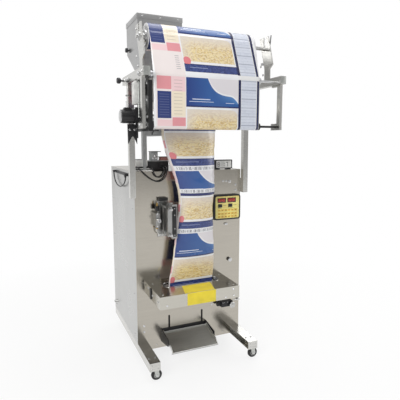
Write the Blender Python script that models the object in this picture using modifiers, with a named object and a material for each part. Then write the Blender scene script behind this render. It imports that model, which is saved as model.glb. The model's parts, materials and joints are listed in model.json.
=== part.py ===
"""Vertical form fill sealer: an upright cabinet on casters with a film roll, a film path, a forming
tube, vertical and horizontal sealing jaws, a hopper with its feeder, and a discharge chute.

All sizes are in metres. The machine is laid out in the cabinet's frame: x = 0 is the outer face of the
left side, y = 0 is the front face, and z = 0 is the floor. The last step moves everything so that the
origin is at the centre of the bounding box's underside.
"""

import math

import bmesh
import bpy
from mathutils import Matrix, Vector

# Clearances
GAP = 0.0003  # between two faces that touch on the real machine
RUNNING = 0.0003  # radial clearance of a shaft in its bore
FREE = 0.0015  # radial clearance of a rod that only passes through a sheet

# Cabinet
CABINET_WIDTH = 0.700
CABINET_DEPTH = 0.645
CABINET_TOP = 1.183
SHEET = 0.002
FRAME_TUBE = 0.030
FRAME_STEP = 0.0005  # each rail of the frame is this much slimmer than what it joins, on each side
BEAM_DEPTH = 0.030
REAR_BEAM_WIDTH = 0.064

# Base rails and casters
RAIL_WIDTH = 0.064
RAIL_HEIGHT = 0.050
RAIL_REACH = 0.250
RAIL_WALL = 0.003
CASTER_HEIGHT = 0.074
WHEEL_RADIUS = 0.0315
WHEEL_WIDTH = 0.022
CASTER_TRAIL = 0.018
FORK_WALL = 0.003
KING_PIN_RADIUS = 0.006
PIN_DEPTH = 0.012
AXLE_RADIUS = 0.004
FORK_GAP = 0.0015
FORK_OVERHANG = 0.012
FORK_LEG_WIDTH = 0.028
FRONT_CASTER_SETBACK = 0.038
REAR_CASTER_INSET = 0.125

# Packaging line: the vertical axis of the film tube
LINE_X = 0.314
LINE_Y = -0.085
FILM_WIDTH = 0.600
FILM_THICKNESS = 0.0008
FILM_CLEARANCE = 0.0012  # film to collar

# Uprights and arms
POST_WIDTH = 0.033
POST_BOTTOM = 1.035
TUBE_WALL = 0.003
CLAMP_PLATE = 0.004
CLAMP_PLATE_REACH = 0.055
CLAMP_PLATE_HEIGHT = 0.090
ARM_WIDTH = 0.035
ARM_BOTTOM = 1.668
ARM_HEIGHT = 0.042
ARM_OFFSET = 0.015
ARM_FRONT = -0.405
ARM_BACK = 0.020
HANGER_WIDTH = 0.016
HANGER_DEPTH = 0.030
HANGER_FOOT_BACK = 0.045

# Film rollers and roll
ROLLER_RADIUS = 0.019
ROLLER_SHAFT_RADIUS = 0.006
ROLLER_Y = -0.335
TOP_ROLLER_Z = 1.685
DRAW_ROLLER_Z = 1.440
ROLLER_OVERHANG = 0.012
ROLL_RADIUS = 0.066
ROLL_BORE_RADIUS = 0.038
ROLL_Y = -0.235
ROLL_Z = 1.881
ROLL_SHAFT_RADIUS = 0.010
ROLL_SHAFT_END = 0.015
CONE_LENGTH = 0.025
BRACKET_PLATE = 0.006
BRACKET_TOP = 1.945

# Film drive on the left arm
MOTOR_RADIUS = 0.034
MOTOR_LENGTH = 0.068
MOTOR_Y = -0.200
MOTOR_Z = 1.487
GEARBOX_LENGTH = 0.033
GEARBOX_DEPTH = 0.080
GEARBOX_HEIGHT = 0.090
DRIVE_SHAFT_RADIUS = 0.006
PULLEY_RADIUS = 0.018
PULLEY_WIDTH = 0.010
PULLEY_GAP = 0.001
BELT_THICKNESS = 0.0025
GUARD_PLATE = 0.004
CLAMP_KNOB_RADIUS = 0.016
CLAMP_KNOB_LENGTH = 0.022
CLAMP_SPINDLE_LENGTH = 0.040
CLAMP_SPINDLE_RADIUS = 0.005

# Forming set
FORMING_TUBE_RADIUS = 0.070
FORMING_TUBE_BOTTOM = 1.150
FORMING_TUBE_TOP = 1.522
FUNNEL_TOP = 1.565
FUNNEL_RADIUS = 0.105
COLLAR_BOTTOM = 1.432
COLLAR_TOP = 1.500
COLLAR_FLARE = 0.042
# Film tube sections: height, left and right of the line, half depth. The film hangs flat at the jaws.
FILM_SECTIONS = (
    (1.445, -0.173, 0.165, 0.087),
    (1.400, -0.172, 0.157, 0.086),
    (1.355, -0.165, 0.156, 0.085),
    (1.310, -0.154, 0.155, 0.084),
    (1.250, -0.133, 0.154, 0.083),
    (1.190, -0.109, 0.155, 0.080),
    (1.130, -0.090, 0.156, 0.079),
    (1.070, -0.075, 0.157, 0.074),
    (1.010, -0.069, 0.149, 0.066),
    (0.950, -0.076, 0.146, 0.058),
    (0.890, -0.083, 0.149, 0.051),
    (0.800, -0.096, 0.154, 0.044),
    (0.710, -0.107, 0.157, 0.036),
    (0.640, -0.117, 0.157, 0.026),
    (0.590, -0.126, 0.155, 0.015),
    (0.545, -0.136, 0.151, 0.006),
    (0.510, -0.139, 0.147, 0.0022),
    (0.438, -0.139, 0.147, 0.0022),
)

FILM_SPLIT = 0.515  # the flat end of the film is a node of its own below this height

# Hopper, its stand and the feeder
HOPPER_LEFT = 0.125
HOPPER_FRONT = 0.318
HOPPER_WIDTH = 0.301
HOPPER_DEPTH = 0.284
HOPPER_TOP = 2.159
HOPPER_SHOULDER = 1.950
HOPPER_NECK_TOP = 1.660
HOPPER_NECK_BOTTOM = 1.628
NECK_SIZE = 0.070
GATE_THICKNESS = 0.003
GATE_TRAVEL = 0.070
GATE_HANDLE_REACH = GATE_TRAVEL + 0.030
MAST_WIDTH = 0.032
MAST_DEPTH = 0.036
MAST_SHIFT = 0.036  # how far the mast stands to the left of the hopper's middle
MAST_OVERLAP = 0.060
STAND_POST = 0.016
STAND_POST_Y = 0.050
STAND_POST_LEFT = 0.078
STAND_POST_RIGHT = 0.500
STAND_FOOT = 0.006
COLLAR_BAR_Z = 1.424
TUBE_BAR_Z = 1.505
BAR_HEIGHT = 0.012
TAB_WIDTH = 0.040
BEAM_BOTTOM = 1.395
BEAM_HEIGHT = 0.030
BEAM_WIDTH = 0.040
TROUGH_BOTTOM = 1.570
TROUGH_HEIGHT = 0.048
TROUGH_WIDTH = 0.140
TROUGH_FRONT = -0.060
TROUGH_BACK = 0.520
DRIVE_FRONT = 0.190
DRIVE_LENGTH = 0.170
DRIVE_WIDTH = 0.090
DRIVE_HEIGHT = 0.090
LEAF_THICKNESS = 0.003
LEAF_INSET = 0.010

# Horizontal sealing jaws and their guard box
BOX_LEFT = 0.063
BOX_RIGHT = 0.561
BOX_DEPTH = 0.258
BOX_BOTTOM = 0.4325
BOX_TOP = 0.5065
SLOT_LENGTH = 0.364
SLOT_WIDTH = 0.095
SLOT_Y = -0.079
JAW_LENGTH = 0.420
JAW_DEPTH = 0.030
JAW_HEIGHT = 0.050
JAW_Z = 0.469
JAW_OPENING = 0.050
JAW_ROD_RADIUS = 0.008
JAW_ROD_INSET = 0.020
YOKE_Y = 0.290
YOKE_DEPTH = 0.015
PISTON_ROD_RADIUS = 0.009
CYLINDER_SIZE = 0.063
CYLINDER_FRONT = 0.100
CYLINDER_LENGTH = 0.160
CYLINDER_BORE_DEPTH = 0.100
PISTON_ROD_REACH = 0.080

# Vertical sealer
SEAL_BASE_LEFT = 0.135
SEAL_BASE_WIDTH = 0.070
SEAL_BASE_BOTTOM = 0.790
SEAL_BASE_HEIGHT = 0.220
SEAL_BASE_PLATE = 0.006
SEAL_ROD_RADIUS = 0.006
SEAL_ROD_END = -0.160
SEAL_BAR_LENGTH = 0.200
SEAL_BAR_DEPTH = 0.022
SEAL_BAR_RIGHT = 0.214
SEAL_CARRIAGE_WIDTH = 0.026
SEAL_OPENING = 0.025
SEAL_BLOCK_WIDTH = 0.024

# Fittings on the front
PANEL_LEFT = 0.505
PANEL_WIDTH = 0.185
PANEL_BOTTOM = 0.864
PANEL_HEIGHT = 0.158
PANEL_DEPTH = 0.020
SWITCH_X = 0.625
SWITCH_Z = 0.592
SWITCH_RADIUS = 0.011
SWITCH_LENGTH = 0.014
REGULATOR_LEFT = 0.548
REGULATOR_WIDTH = 0.078
REGULATOR_DEPTH = 0.050
REGULATOR_BOTTOM = 0.289
REGULATOR_HEIGHT = 0.036
REGULATOR_KNOB_RADIUS = 0.015
REGULATOR_KNOB_LENGTH = 0.024
GAUGE_RADIUS = 0.019
GAUGE_DEPTH = 0.016
METER_LEFT = 0.525
METER_WIDTH = 0.120
METER_DEPTH = 0.040
METER_HEIGHT = 0.055
METER_FOOT = 0.006
JUNCTION_LEFT = 0.010
JUNCTION_WIDTH = 0.225
JUNCTION_FRONT = 0.070
JUNCTION_DEPTH = 0.090
JUNCTION_HEIGHT = 0.058

# Discharge chute
CHUTE_LEFT = 0.151
CHUTE_WIDTH = 0.309
CHUTE_TOP = 0.197
CHUTE_HEIGHT = 0.084
CHUTE_REACH = 0.130
CHUTE_PLATE = 0.004
CHUTE_SLOT_SPACING = 0.224
CHUTE_SLOT_LEFT = 0.204
CHUTE_SLOT_WIDTH = 0.012
CHUTE_TRAVEL = 0.100
CHUTE_STUD_Z = 0.172
CHUTE_STUD_RADIUS = 0.0045
CHUTE_SLOT_TOP = CHUTE_STUD_Z + CHUTE_TRAVEL + CHUTE_SLOT_WIDTH / 2 + 0.001
TRAY_SIDE_CLEARANCE = 0.003
TRAY_WALL = 0.002
TRAY_SIDE_HEIGHT = 0.018
TRAY_HINGE_Y = -0.018
TRAY_HINGE_Z = 0.180
TRAY_LENGTH = 0.178
TRAY_SLOPE = math.radians(16)
TRAY_PIN_RADIUS = 0.003

# Rear door and the plate inside
DOOR_SIDE_GAP = 0.004
DOOR_BARREL_RADIUS = 0.007
DOOR_PIN_RADIUS = 0.003
DOOR_BARREL_LENGTH = 0.060
DOOR_BARREL_INSET = 0.150
DOOR_EAR_THICKNESS = 0.006
LATCH_Z = 0.650
LATCH_INSET = 0.035
LATCH_RADIUS = 0.012
PLATE_THICKNESS = 0.003
PLATE_BOTTOM = 0.620
PLATE_HEIGHT = 0.450

# Cables and hose: points of each route, chosen by hand
CABLE_RADIUS = 0.004
HOSE_RADIUS = 0.003
GLAND_RADIUS = 0.007
MAINS_GLAND_LENGTH = 0.010
MAINS_GLAND_INSET = 0.070
GLAND_LENGTH = 0.013
CABLE_EXIT_Z = 1.206
LOOP_CABLE = (
    (0.200, 0.0577, CABLE_EXIT_Z),
    (0.200, 0.035, CABLE_EXIT_Z),
    (0.199, 0.010, 1.203),
    (0.196, -0.009, 1.186),
    (0.189, -0.014, 1.160),
    (0.173, -0.014, 1.138),
    (0.150, -0.014, 1.126),
    (0.125, -0.014, 1.127),
    (0.098, -0.014, 1.140),
    (0.074, -0.013, 1.158),
    (0.054, -0.012, 1.176),
    (0.038, -0.006, 1.193),
    (0.030, 0.010, 1.204),
    (0.028, 0.035, CABLE_EXIT_Z),
    (0.028, 0.0577, CABLE_EXIT_Z),
)
SMALL_LOOP_CABLE = (
    (0.180, 0.0577, CABLE_EXIT_Z),
    (0.180, 0.035, CABLE_EXIT_Z),
    (0.180, 0.010, 1.203),
    (0.1795, -0.008, 1.189),
    (0.175, -0.014, 1.171),
    (0.163, -0.014, 1.156),
    (0.146, -0.014, 1.150),
    (0.129, -0.014, 1.155),
    (0.117, -0.014, 1.170),
    (0.111, -0.008, 1.189),
    (0.110, 0.010, 1.203),
    (0.110, 0.035, CABLE_EXIT_Z),
    (0.110, 0.0577, CABLE_EXIT_Z),
)
SIDE_CABLE = (
    (-0.0140, 0.490, 1.150),
    (-0.0140, 0.490, 1.138),
    (-0.0140, 0.479, 1.118),
    (-0.0140, 0.455, 1.097),
    (-0.0140, 0.420, 1.081),
    (-0.0140, 0.378, 1.073),
    (-0.0140, 0.332, 1.070),
    (-0.0140, 0.286, 1.073),
    (-0.0140, 0.243, 1.082),
    (-0.0140, 0.207, 1.095),
    (-0.0140, 0.180, 1.111),
    (-0.0140, 0.161, 1.129),
    (-0.0140, 0.160, 1.140),
)
SEAL_HOSE = (
    (0.123, -0.030, 0.8477),
    (0.123, -0.030, 0.838),
    (0.126, -0.030, 0.822),
    (0.136, -0.030, 0.809),
    (0.152, -0.030, 0.803),
    (0.170, -0.030, 0.805),
    (0.187, -0.029, 0.814),
    (0.200, -0.028, 0.829),
    (0.206, -0.026, 0.846),
    (0.207, -0.025, 0.860),
    (0.207, -0.025, 0.8697),
)

ROUND = 24  # sides of a small cylinder
FINE = 40  # sides of a large one
RING_POINTS = 32  # points round the film and the collar, which must match

X = Vector((1, 0, 0))
Y = Vector((0, 1, 0))
Z = Vector((0, 0, 1))


# Scene and materials


def clear_scene():
    for old in list(bpy.data.objects):
        bpy.data.objects.remove(old)


def make_collection(name, hidden):
    made = bpy.data.collections.new(name)
    made.hide_render = hidden
    bpy.context.scene.collection.children.link(made)
    return made


def material(name, colour, roughness, metallic):
    made = bpy.data.materials.get(name) or bpy.data.materials.new(name)
    made.use_nodes = True
    shader = made.node_tree.nodes["Principled BSDF"]
    shader.inputs["Base Color"].default_value = (*colour, 1)
    shader.inputs["Roughness"].default_value = roughness
    shader.inputs["Metallic"].default_value = metallic
    made.diffuse_color = (*colour, 1)
    return made


def steel():
    return material("stainless", (0.62, 0.61, 0.58), 0.25, 1)


def bright_steel():
    return material("bright_steel", (0.75, 0.75, 0.75), 0.18, 1)


def black_metal():
    return material("black_metal", (0.02, 0.02, 0.022), 0.4, 0.2)


def black_plastic():
    return material("black_plastic", (0.025, 0.025, 0.028), 0.45, 0)


def aluminium():
    return material("aluminium", (0.70, 0.71, 0.72), 0.35, 1)


def black_rubber():
    return material("black_rubber", (0.03, 0.03, 0.03), 0.8, 0)


def printed_film():
    return material("printed_film", (0.82, 0.78, 0.72), 0.3, 0)


def painted_grey():
    return material("painted_grey", (0.55, 0.56, 0.56), 0.5, 0)


# Shapes. Each returns a function that adds one closed shape to a bmesh.


def block(low, high):
    def build(bm):
        middle = (Vector(low) + Vector(high)) / 2
        size = Vector(high) - Vector(low)
        matrix = Matrix.Translation(middle) @ Matrix.Diagonal((*size, 1))
        bmesh.ops.create_cube(bm, size=1, matrix=matrix)

    return build


def rod(start, end, radius, sides=ROUND, end_radius=None):
    def build(bm):
        a, b = Vector(start), Vector(end)
        turn = Z.rotation_difference((b - a).normalized()).to_matrix().to_4x4()
        bmesh.ops.create_cone(
            bm,
            cap_ends=True,
            segments=sides,
            radius1=radius,
            radius2=radius if end_radius is None else end_radius,
            depth=(b - a).length,
            matrix=Matrix.Translation((a + b) / 2) @ turn,
        )

    return build


def flat_outline(points, axis, low, high):
    """An outline extruded from low to high along axis. Its points are (y, z), (x, z) or (x, y)."""
    columns = {"X": (Y, Z, X), "Y": (X, Z, Y), "Z": (X, Y, Z)}[axis]

    def build(bm):
        curve = bpy.data.curves.new("outline", "CURVE")
        curve.dimensions = "2D"
        curve.fill_mode = "BOTH"
        curve.extrude = (high - low) / 2
        spline = curve.splines.new("POLY")
        spline.points.add(len(points) - 1)
        spline.use_cyclic_u = True
        for point, (u, v) in zip(spline.points, points):
            point.co = (u, v, 0, 1)
        guide = bpy.data.objects.new("outline", curve)
        mesh = bpy.data.meshes.new_from_object(guide)
        turn = Matrix(columns).transposed().to_4x4()
        mesh.transform(Matrix.Translation(columns[2] * (low + high) / 2) @ turn)
        bm.from_mesh(mesh)
        bmesh.ops.remove_doubles(bm, verts=bm.verts, dist=1e-6)
        bpy.data.objects.remove(guide)
        bpy.data.curves.remove(curve)
        bpy.data.meshes.remove(mesh)

    return build


def arc(centre, radius, start, end, steps):
    """Points of an arc in a plane, from one angle to another in degrees."""
    angles = [math.radians(start + (end - start) * i / steps) for i in range(steps + 1)]
    return [(centre[0] + radius * math.cos(a), centre[1] + radius * math.sin(a)) for a in angles]


def stadium(centre, length, width, steps=10):
    """A slot outline with round ends, its length along the first coordinate."""
    half = (length - width) / 2
    right = arc((centre[0] + half, centre[1]), width / 2, -90, 90, steps)
    left = arc((centre[0] - half, centre[1]), width / 2, 90, 270, steps)
    return right + left


# Objects


def mesh_of(name, build, origin):
    bm = bmesh.new()
    build(bm)
    bmesh.ops.recalc_face_normals(bm, faces=bm.faces)
    bmesh.ops.translate(bm, verts=bm.verts, vec=-Vector(origin))
    mesh = bpy.data.meshes.new(name)
    bm.to_mesh(mesh)
    bm.free()
    return mesh


def smooth(mesh):
    mesh.shade_smooth()
    mesh.set_sharp_from_angle(angle=math.radians(35))


def add_object(name, mesh, look, origin=(0, 0, 0)):
    made = bpy.data.objects.new(name, mesh)
    made.location = origin
    mesh.materials.append(look)
    PARTS.objects.link(made)
    return made


def add_helper(owner, build, operation):
    """A hidden shape that a Boolean joins to its owner or cuts from it."""
    origin = owner.location
    helper = bpy.data.objects.new(f"{owner.name}_{operation.lower()}", mesh_of("helper", build, origin))
    helper.location = origin
    helper.hide_render = True
    helper.display_type = "WIRE"
    HELPERS.objects.link(helper)
    change = owner.modifiers.new(operation.lower(), "BOOLEAN")
    change.operation = operation
    change.solver = "EXACT"
    change.object = helper


def solid(name, look, shapes, cuts=(), origin=(0, 0, 0)):
    """One body: the first shape, joined to the others, less the cuts."""
    mesh = mesh_of(name, shapes[0], origin)
    smooth(mesh)
    made = add_object(name, mesh, look, origin)
    for shape in shapes[1:]:
        add_helper(made, shape, "UNION")
    for cut in cuts:
        add_helper(made, cut, "DIFFERENCE")
    return made


def turned(name, look, profile, origin, axis, steps=FINE):
    """A turned body. Its profile runs from the top of the outer side down, as (radius, height)."""
    mesh = bpy.data.meshes.new(name)
    closed = profile[0][0] > 0
    edges = [(i, i + 1) for i in range(len(profile) - 1)]
    if closed:
        edges.append((len(profile) - 1, 0))
    mesh.from_pydata([(r, 0, h) for r, h in profile], edges, [])
    made = add_object(name, mesh, look, origin)
    made.rotation_mode = "QUATERNION"
    made.rotation_quaternion = Z.rotation_difference(axis)
    screw = made.modifiers.new("turn", "SCREW")
    screw.steps = steps
    screw.render_steps = steps
    screw.use_merge_vertices = True
    screw.merge_threshold = 1e-5
    screw.use_smooth_shade = True
    return made


def ring_surface(name, look, rings, wall, outward, closed=True):
    """A thin shell through rings of equally many points, thickened by a Solidify modifier."""
    bm = bmesh.new()
    rows = [[bm.verts.new(p) for p in ring] for ring in rings]
    count = len(rows[0])
    last = count if closed else count - 1
    for upper, lower in zip(rows, rows[1:]):
        for i in range(last):
            j = (i + 1) % count
            bm.faces.new((upper[i], lower[i], lower[j], upper[j]))
    mesh = bpy.data.meshes.new(name)
    bm.to_mesh(mesh)
    bm.free()
    smooth(mesh)
    made = add_object(name, mesh, look)
    thick = made.modifiers.new("wall", "SOLIDIFY")
    thick.thickness = wall
    thick.offset = 1 if outward else -1
    thick.use_even_offset = True
    return made


def tube_along(name, look, points, radius, steps):
    """A round cable on a smooth curve through the route's points."""
    curve = bpy.data.curves.new(name, "CURVE")
    curve.dimensions = "3D"
    curve.bevel_depth = radius
    curve.bevel_resolution = 2
    curve.use_fill_caps = True
    line = smooth_route(points, steps)
    spline = curve.splines.new("POLY")
    spline.points.add(len(line) - 1)
    for point, place in zip(spline.points, line):
        point.co = (*place, 1)
    made = bpy.data.objects.new(name, curve)
    curve.materials.append(look)
    PARTS.objects.link(made)
    return made


def smooth_route(points, steps):
    """Points along a Catmull-Rom curve through the route."""
    route = [Vector(p) for p in points]
    route = [2 * route[0] - route[1], *route, 2 * route[-1] - route[-2]]
    line = [route[1]]
    for a, b, c, d in zip(route, route[1:], route[2:], route[3:]):
        for i in range(1, steps + 1):
            t = i / steps
            line.append(
                (2 * b + (c - a) * t + (2 * a - 5 * b + 4 * c - d) * t**2
                + (3 * b - a - 3 * c + d) * t**3) / 2
            )
    return line


def oval(left, right, centre_y, half_depth, z, count):
    """A level ring round the film or the collar."""
    middle, half_width = (left + right) / 2, (right - left) / 2
    points = []
    for i in range(count):
        a = 2 * math.pi * i / count
        points.append((middle + half_width * math.cos(a), centre_y + half_depth * math.sin(a), z))
    return points


# Derived places

RAIL_TOP = CASTER_HEIGHT + RAIL_HEIGHT
ARM_TOP = ARM_BOTTOM + ARM_HEIGHT
POST_FRONT = -CLAMP_PLATE - GAP - GAP - POST_WIDTH
FILM_LEFT = LINE_X - FILM_WIDTH / 2
FILM_RIGHT = LINE_X + FILM_WIDTH / 2
FRAME_LOW = SHEET + GAP
FRAME_TOP = CABINET_TOP - SHEET - GAP
HOPPER_X = HOPPER_LEFT + HOPPER_WIDTH / 2
HOPPER_Y = HOPPER_FRONT + HOPPER_DEPTH / 2
HOPPER_BACK = HOPPER_FRONT + HOPPER_DEPTH
JAW_LEFT = LINE_X - JAW_LENGTH / 2
JAW_RIGHT = LINE_X + JAW_LENGTH / 2
JAW_RODS = (JAW_LEFT + JAW_ROD_INSET, JAW_RIGHT - JAW_ROD_INSET)
SEAL_BASE_TOP = SEAL_BASE_BOTTOM + SEAL_BASE_HEIGHT
SEAL_ROD_X = SEAL_BASE_LEFT + SEAL_BASE_WIDTH / 2
SEAL_RODS_Z = (SEAL_BASE_BOTTOM + 0.035, SEAL_BASE_TOP - 0.035)
SEAL_MIDDLE_Z = SEAL_BASE_BOTTOM + SEAL_BASE_HEIGHT / 2
DOOR_AXIS_X = CABINET_WIDTH - DOOR_BARREL_RADIUS
DOOR_AXIS_Y = CABINET_DEPTH + DOOR_BARREL_RADIUS + GAP
LEFT, RIGHT = -1, 1


def side_x(side, distance):
    """The x of a place that distance outside the cabinet's left or right face."""
    return -distance if side == LEFT else CABINET_WIDTH + distance


def side_block(side, near, far, low_yz, high_yz):
    """A block between two distances outside a cabinet side."""
    xs = sorted((side_x(side, near), side_x(side, far)))
    return block((xs[0], *low_yz), (xs[1], *high_yz))


# Cabinet and base


def base_rail(side, name):
    near, far = sorted((side_x(side, 0), side_x(side, -RAIL_WIDTH)))
    shell = block((near, -RAIL_REACH, CASTER_HEIGHT), (far, CABINET_DEPTH, RAIL_TOP))
    if side == LEFT:
        open_near, open_far = near + RAIL_WALL, far + RAIL_WALL
    else:
        open_near, open_far = near - RAIL_WALL, far - RAIL_WALL
    hollow = block(
        (open_near, -RAIL_REACH + RAIL_WALL, CASTER_HEIGHT + RAIL_WALL),
        (open_far, CABINET_DEPTH - RAIL_WALL, RAIL_TOP - RAIL_WALL),
    )
    x, y = (near + far) / 2, -RAIL_REACH + FRONT_CASTER_SETBACK
    pin_hole = rod(
        (x, y, CASTER_HEIGHT - RAIL_WALL),
        (x, y, CASTER_HEIGHT + 2 * RAIL_WALL),
        KING_PIN_RADIUS + RUNNING,
    )
    solid(name, steel(), [shell], [hollow, pin_hole])


def rear_caster_places():
    y = CABINET_DEPTH - SHEET - GAP - REAR_BEAM_WIDTH / 2
    return [(REAR_CASTER_INSET, y), (CABINET_WIDTH - REAR_CASTER_INSET, y)]


def front_caster_places():
    y = -RAIL_REACH + FRONT_CASTER_SETBACK
    return [(RAIL_WIDTH / 2, y), (CABINET_WIDTH - RAIL_WIDTH / 2, y)]


def main_frame():
    left, right = FRAME_LOW, CABINET_WIDTH - FRAME_LOW
    front, back = FRAME_LOW, CABINET_DEPTH - FRAME_LOW
    low, high = RAIL_TOP + GAP, FRAME_TOP
    t, step = FRAME_TUBE, FRAME_STEP
    shapes = []
    for x in (left, right - t):
        for y in (front, back - t):
            shapes.append(block((x, y, low), (x + t, y + t, high)))
    for z in (low, high - t):
        for y in (front, back - t):
            shapes.append(
                block((left + t / 2, y + step, z + step), (right - t / 2, y + t - step, z + t - step))
            )
        for x in (left, right - t):
            shapes.append(
                block(
                    (x + 2 * step, front + t / 2, z + 2 * step),
                    (x + t - 2 * step, back - t / 2, z + t - 2 * step),
                )
            )
    skirt_left, skirt_right = RAIL_WIDTH + GAP, CABINET_WIDTH - RAIL_WIDTH - GAP
    shapes.append(
        block(
            (skirt_left, front + 2 * step, CASTER_HEIGHT),
            (skirt_right, front + t - 2 * step, low + t / 2),
        )
    )
    shapes.append(
        block(
            (skirt_left, back - REAR_BEAM_WIDTH, CASTER_HEIGHT),
            (skirt_right, back - 2 * step, low + t / 3),
        )
    )
    beam_front, beam_back = CYLINDER_FRONT - GAP - BEAM_DEPTH, CYLINDER_FRONT - GAP
    half = CYLINDER_SIZE / 2
    shapes.append(
        block((left + 3 * step, beam_front, JAW_Z - half), (right - 3 * step, beam_back, JAW_Z + half))
    )
    for x in (left, right - t):
        shapes.append(
            block(
                (x + 4 * step, front + t / 2, JAW_Z - half + step),
                (x + t - step, beam_back - step, JAW_Z + half - step),
            )
        )
    cuts = []
    holes = [(x, JAW_ROD_RADIUS + RUNNING) for x in JAW_RODS] + [(LINE_X, PISTON_ROD_RADIUS + FREE)]
    for x, radius in holes:
        cuts.append(rod((x, beam_front - t, JAW_Z), (x, beam_back + t, JAW_Z), radius))
    for x, y in rear_caster_places():
        cuts.append(
            rod(
                (x, y, CASTER_HEIGHT - RAIL_WALL),
                (x, y, CASTER_HEIGHT + PIN_DEPTH),
                KING_PIN_RADIUS + RUNNING,
            )
        )
    for z in door_barrel_heights():
        ear_low, ear_high = door_ear(z)
        shapes.append(
            block(
                (DOOR_AXIS_X - DOOR_BARREL_RADIUS + step, back - t / 2, ear_low),
                (
                    DOOR_AXIS_X + DOOR_BARREL_RADIUS - SHEET - 2 * GAP,
                    DOOR_AXIS_Y + DOOR_PIN_RADIUS + step,
                    ear_high,
                ),
            )
        )
        shapes.append(
            rod(
                (DOOR_AXIS_X, DOOR_AXIS_Y, (ear_low + ear_high) / 2),
                (DOOR_AXIS_X, DOOR_AXIS_Y, z + DOOR_BARREL_LENGTH / 2),
                DOOR_PIN_RADIUS,
                12,
            )
        )
    solid("main_frame", painted_grey(), shapes, cuts)


def door_ear(z):
    """Bottom and top of the ear under a hinge barrel; it carries the barrel's pin."""
    high = z - DOOR_BARREL_LENGTH / 2 - GAP
    return high - DOOR_EAR_THICKNESS, high


def door_barrel_heights():
    return (RAIL_TOP + DOOR_BARREL_INSET, CABINET_TOP - DOOR_BARREL_INSET)


def front_panel():
    """The cabinet's front and top, which are one folded sheet."""
    shapes = [
        block((0, 0, RAIL_TOP + GAP), (CABINET_WIDTH, SHEET, FRAME_TOP)),
        block(
            (RAIL_WIDTH + GAP, 0, CASTER_HEIGHT),
            (CABINET_WIDTH - RAIL_WIDTH - GAP, SHEET, RAIL_TOP + 2 * GAP),
        ),
        block((0, 0, CABINET_TOP - SHEET), (CABINET_WIDTH, CABINET_DEPTH, CABINET_TOP)),
        block(
            (FRAME_STEP, FRAME_STEP, FRAME_TOP - SHEET),
            (CABINET_WIDTH - FRAME_STEP, SHEET - FRAME_STEP, CABINET_TOP - FRAME_STEP),
        ),
    ]
    cuts = []
    for x in JAW_RODS:
        cuts.append(rod((x, -SHEET, JAW_Z), (x, 2 * SHEET, JAW_Z), JAW_ROD_RADIUS + FREE))
    cuts.append(rod((LINE_X, -SHEET, JAW_Z), (LINE_X, 2 * SHEET, JAW_Z), PISTON_ROD_RADIUS + FREE))
    slot_bottom = CHUTE_STUD_Z - CHUTE_SLOT_WIDTH / 2
    for x in chute_slot_places():
        outline = stadium(
            ((slot_bottom + CHUTE_SLOT_TOP) / 2, x),
            CHUTE_SLOT_TOP - slot_bottom,
            CHUTE_SLOT_WIDTH,
        )
        cuts.append(flat_outline([(u, v) for v, u in outline], "Y", -SHEET, 2 * SHEET))
    solid("front_panel", steel(), shapes, cuts)


def chute_slot_places():
    return (CHUTE_SLOT_LEFT, CHUTE_SLOT_LEFT + CHUTE_SLOT_SPACING)


def side_panel(side, name):
    """A side sheet; the left one has the mains cable's gland near its lower back corner."""
    xs = sorted((side_x(side, 0), side_x(side, -SHEET)))
    shapes = [block((xs[0], SHEET + GAP, RAIL_TOP + GAP), (xs[1], CABINET_DEPTH, FRAME_TOP))]
    if side == LEFT:
        y, z = CABINET_DEPTH - MAINS_GLAND_INSET, RAIL_TOP + MAINS_GLAND_INSET
        shapes.append(
            rod((side_x(side, MAINS_GLAND_LENGTH), y, z), (side_x(side, -SHEET / 2), y, z), 0.011, 6)
        )
        shapes.append(rod((side_x(side, MAINS_GLAND_LENGTH + 0.010), y, z), (side_x(side, 0), y, z), 0.008))
    solid(name, steel(), shapes)


def rear_door():
    low, high = RAIL_TOP + DOOR_SIDE_GAP, FRAME_TOP - DOOR_SIDE_GAP
    left, right = DOOR_SIDE_GAP, DOOR_AXIS_X
    y = CABINET_DEPTH + GAP
    half = DOOR_BARREL_LENGTH / 2
    shapes = [block((left, y, low), (right, y + SHEET, high))]
    cuts = []
    for z in door_barrel_heights():
        ear_low, _ = door_ear(z)
        shapes.append(
            rod(
                (DOOR_AXIS_X, DOOR_AXIS_Y, z - half),
                (DOOR_AXIS_X, DOOR_AXIS_Y, z + half),
                DOOR_BARREL_RADIUS,
            )
        )
        cuts.append(
            rod(
                (DOOR_AXIS_X, DOOR_AXIS_Y, z - 2 * half),
                (DOOR_AXIS_X, DOOR_AXIS_Y, z + 2 * half),
                DOOR_PIN_RADIUS + RUNNING,
            )
        )
        cuts.append(
            block(
                (DOOR_AXIS_X - 3 * DOOR_BARREL_RADIUS, y - SHEET, ear_low - DOOR_SIDE_GAP),
                (CABINET_WIDTH, y + 3 * DOOR_BARREL_RADIUS, z - half),
            )
        )
    x = DOOR_SIDE_GAP + LATCH_INSET
    cuts.append(rod((x, y - SHEET, LATCH_Z), (x, y + 2 * SHEET, LATCH_Z), LATCH_RADIUS / 2 + RUNNING))
    solid("rear_door", steel(), shapes, cuts, origin=(DOOR_AXIS_X, DOOR_AXIS_Y, (low + high) / 2))


def door_latch():
    x, y = DOOR_SIDE_GAP + LATCH_INSET, CABINET_DEPTH + GAP
    outside = y + SHEET + GAP
    inside = y - GAP
    shapes = [
        rod((x, outside, LATCH_Z), (x, outside + 0.010, LATCH_Z), LATCH_RADIUS),
        rod((x, inside - 0.004, LATCH_Z), (x, outside + 0.004, LATCH_Z), LATCH_RADIUS / 2),
        block((x - 0.004, outside + 0.008, LATCH_Z - 0.030), (x + 0.004, outside + 0.018, LATCH_Z + 0.030)),
    ]
    solid("door_latch", black_plastic(), shapes, origin=(x, y, LATCH_Z))


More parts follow.
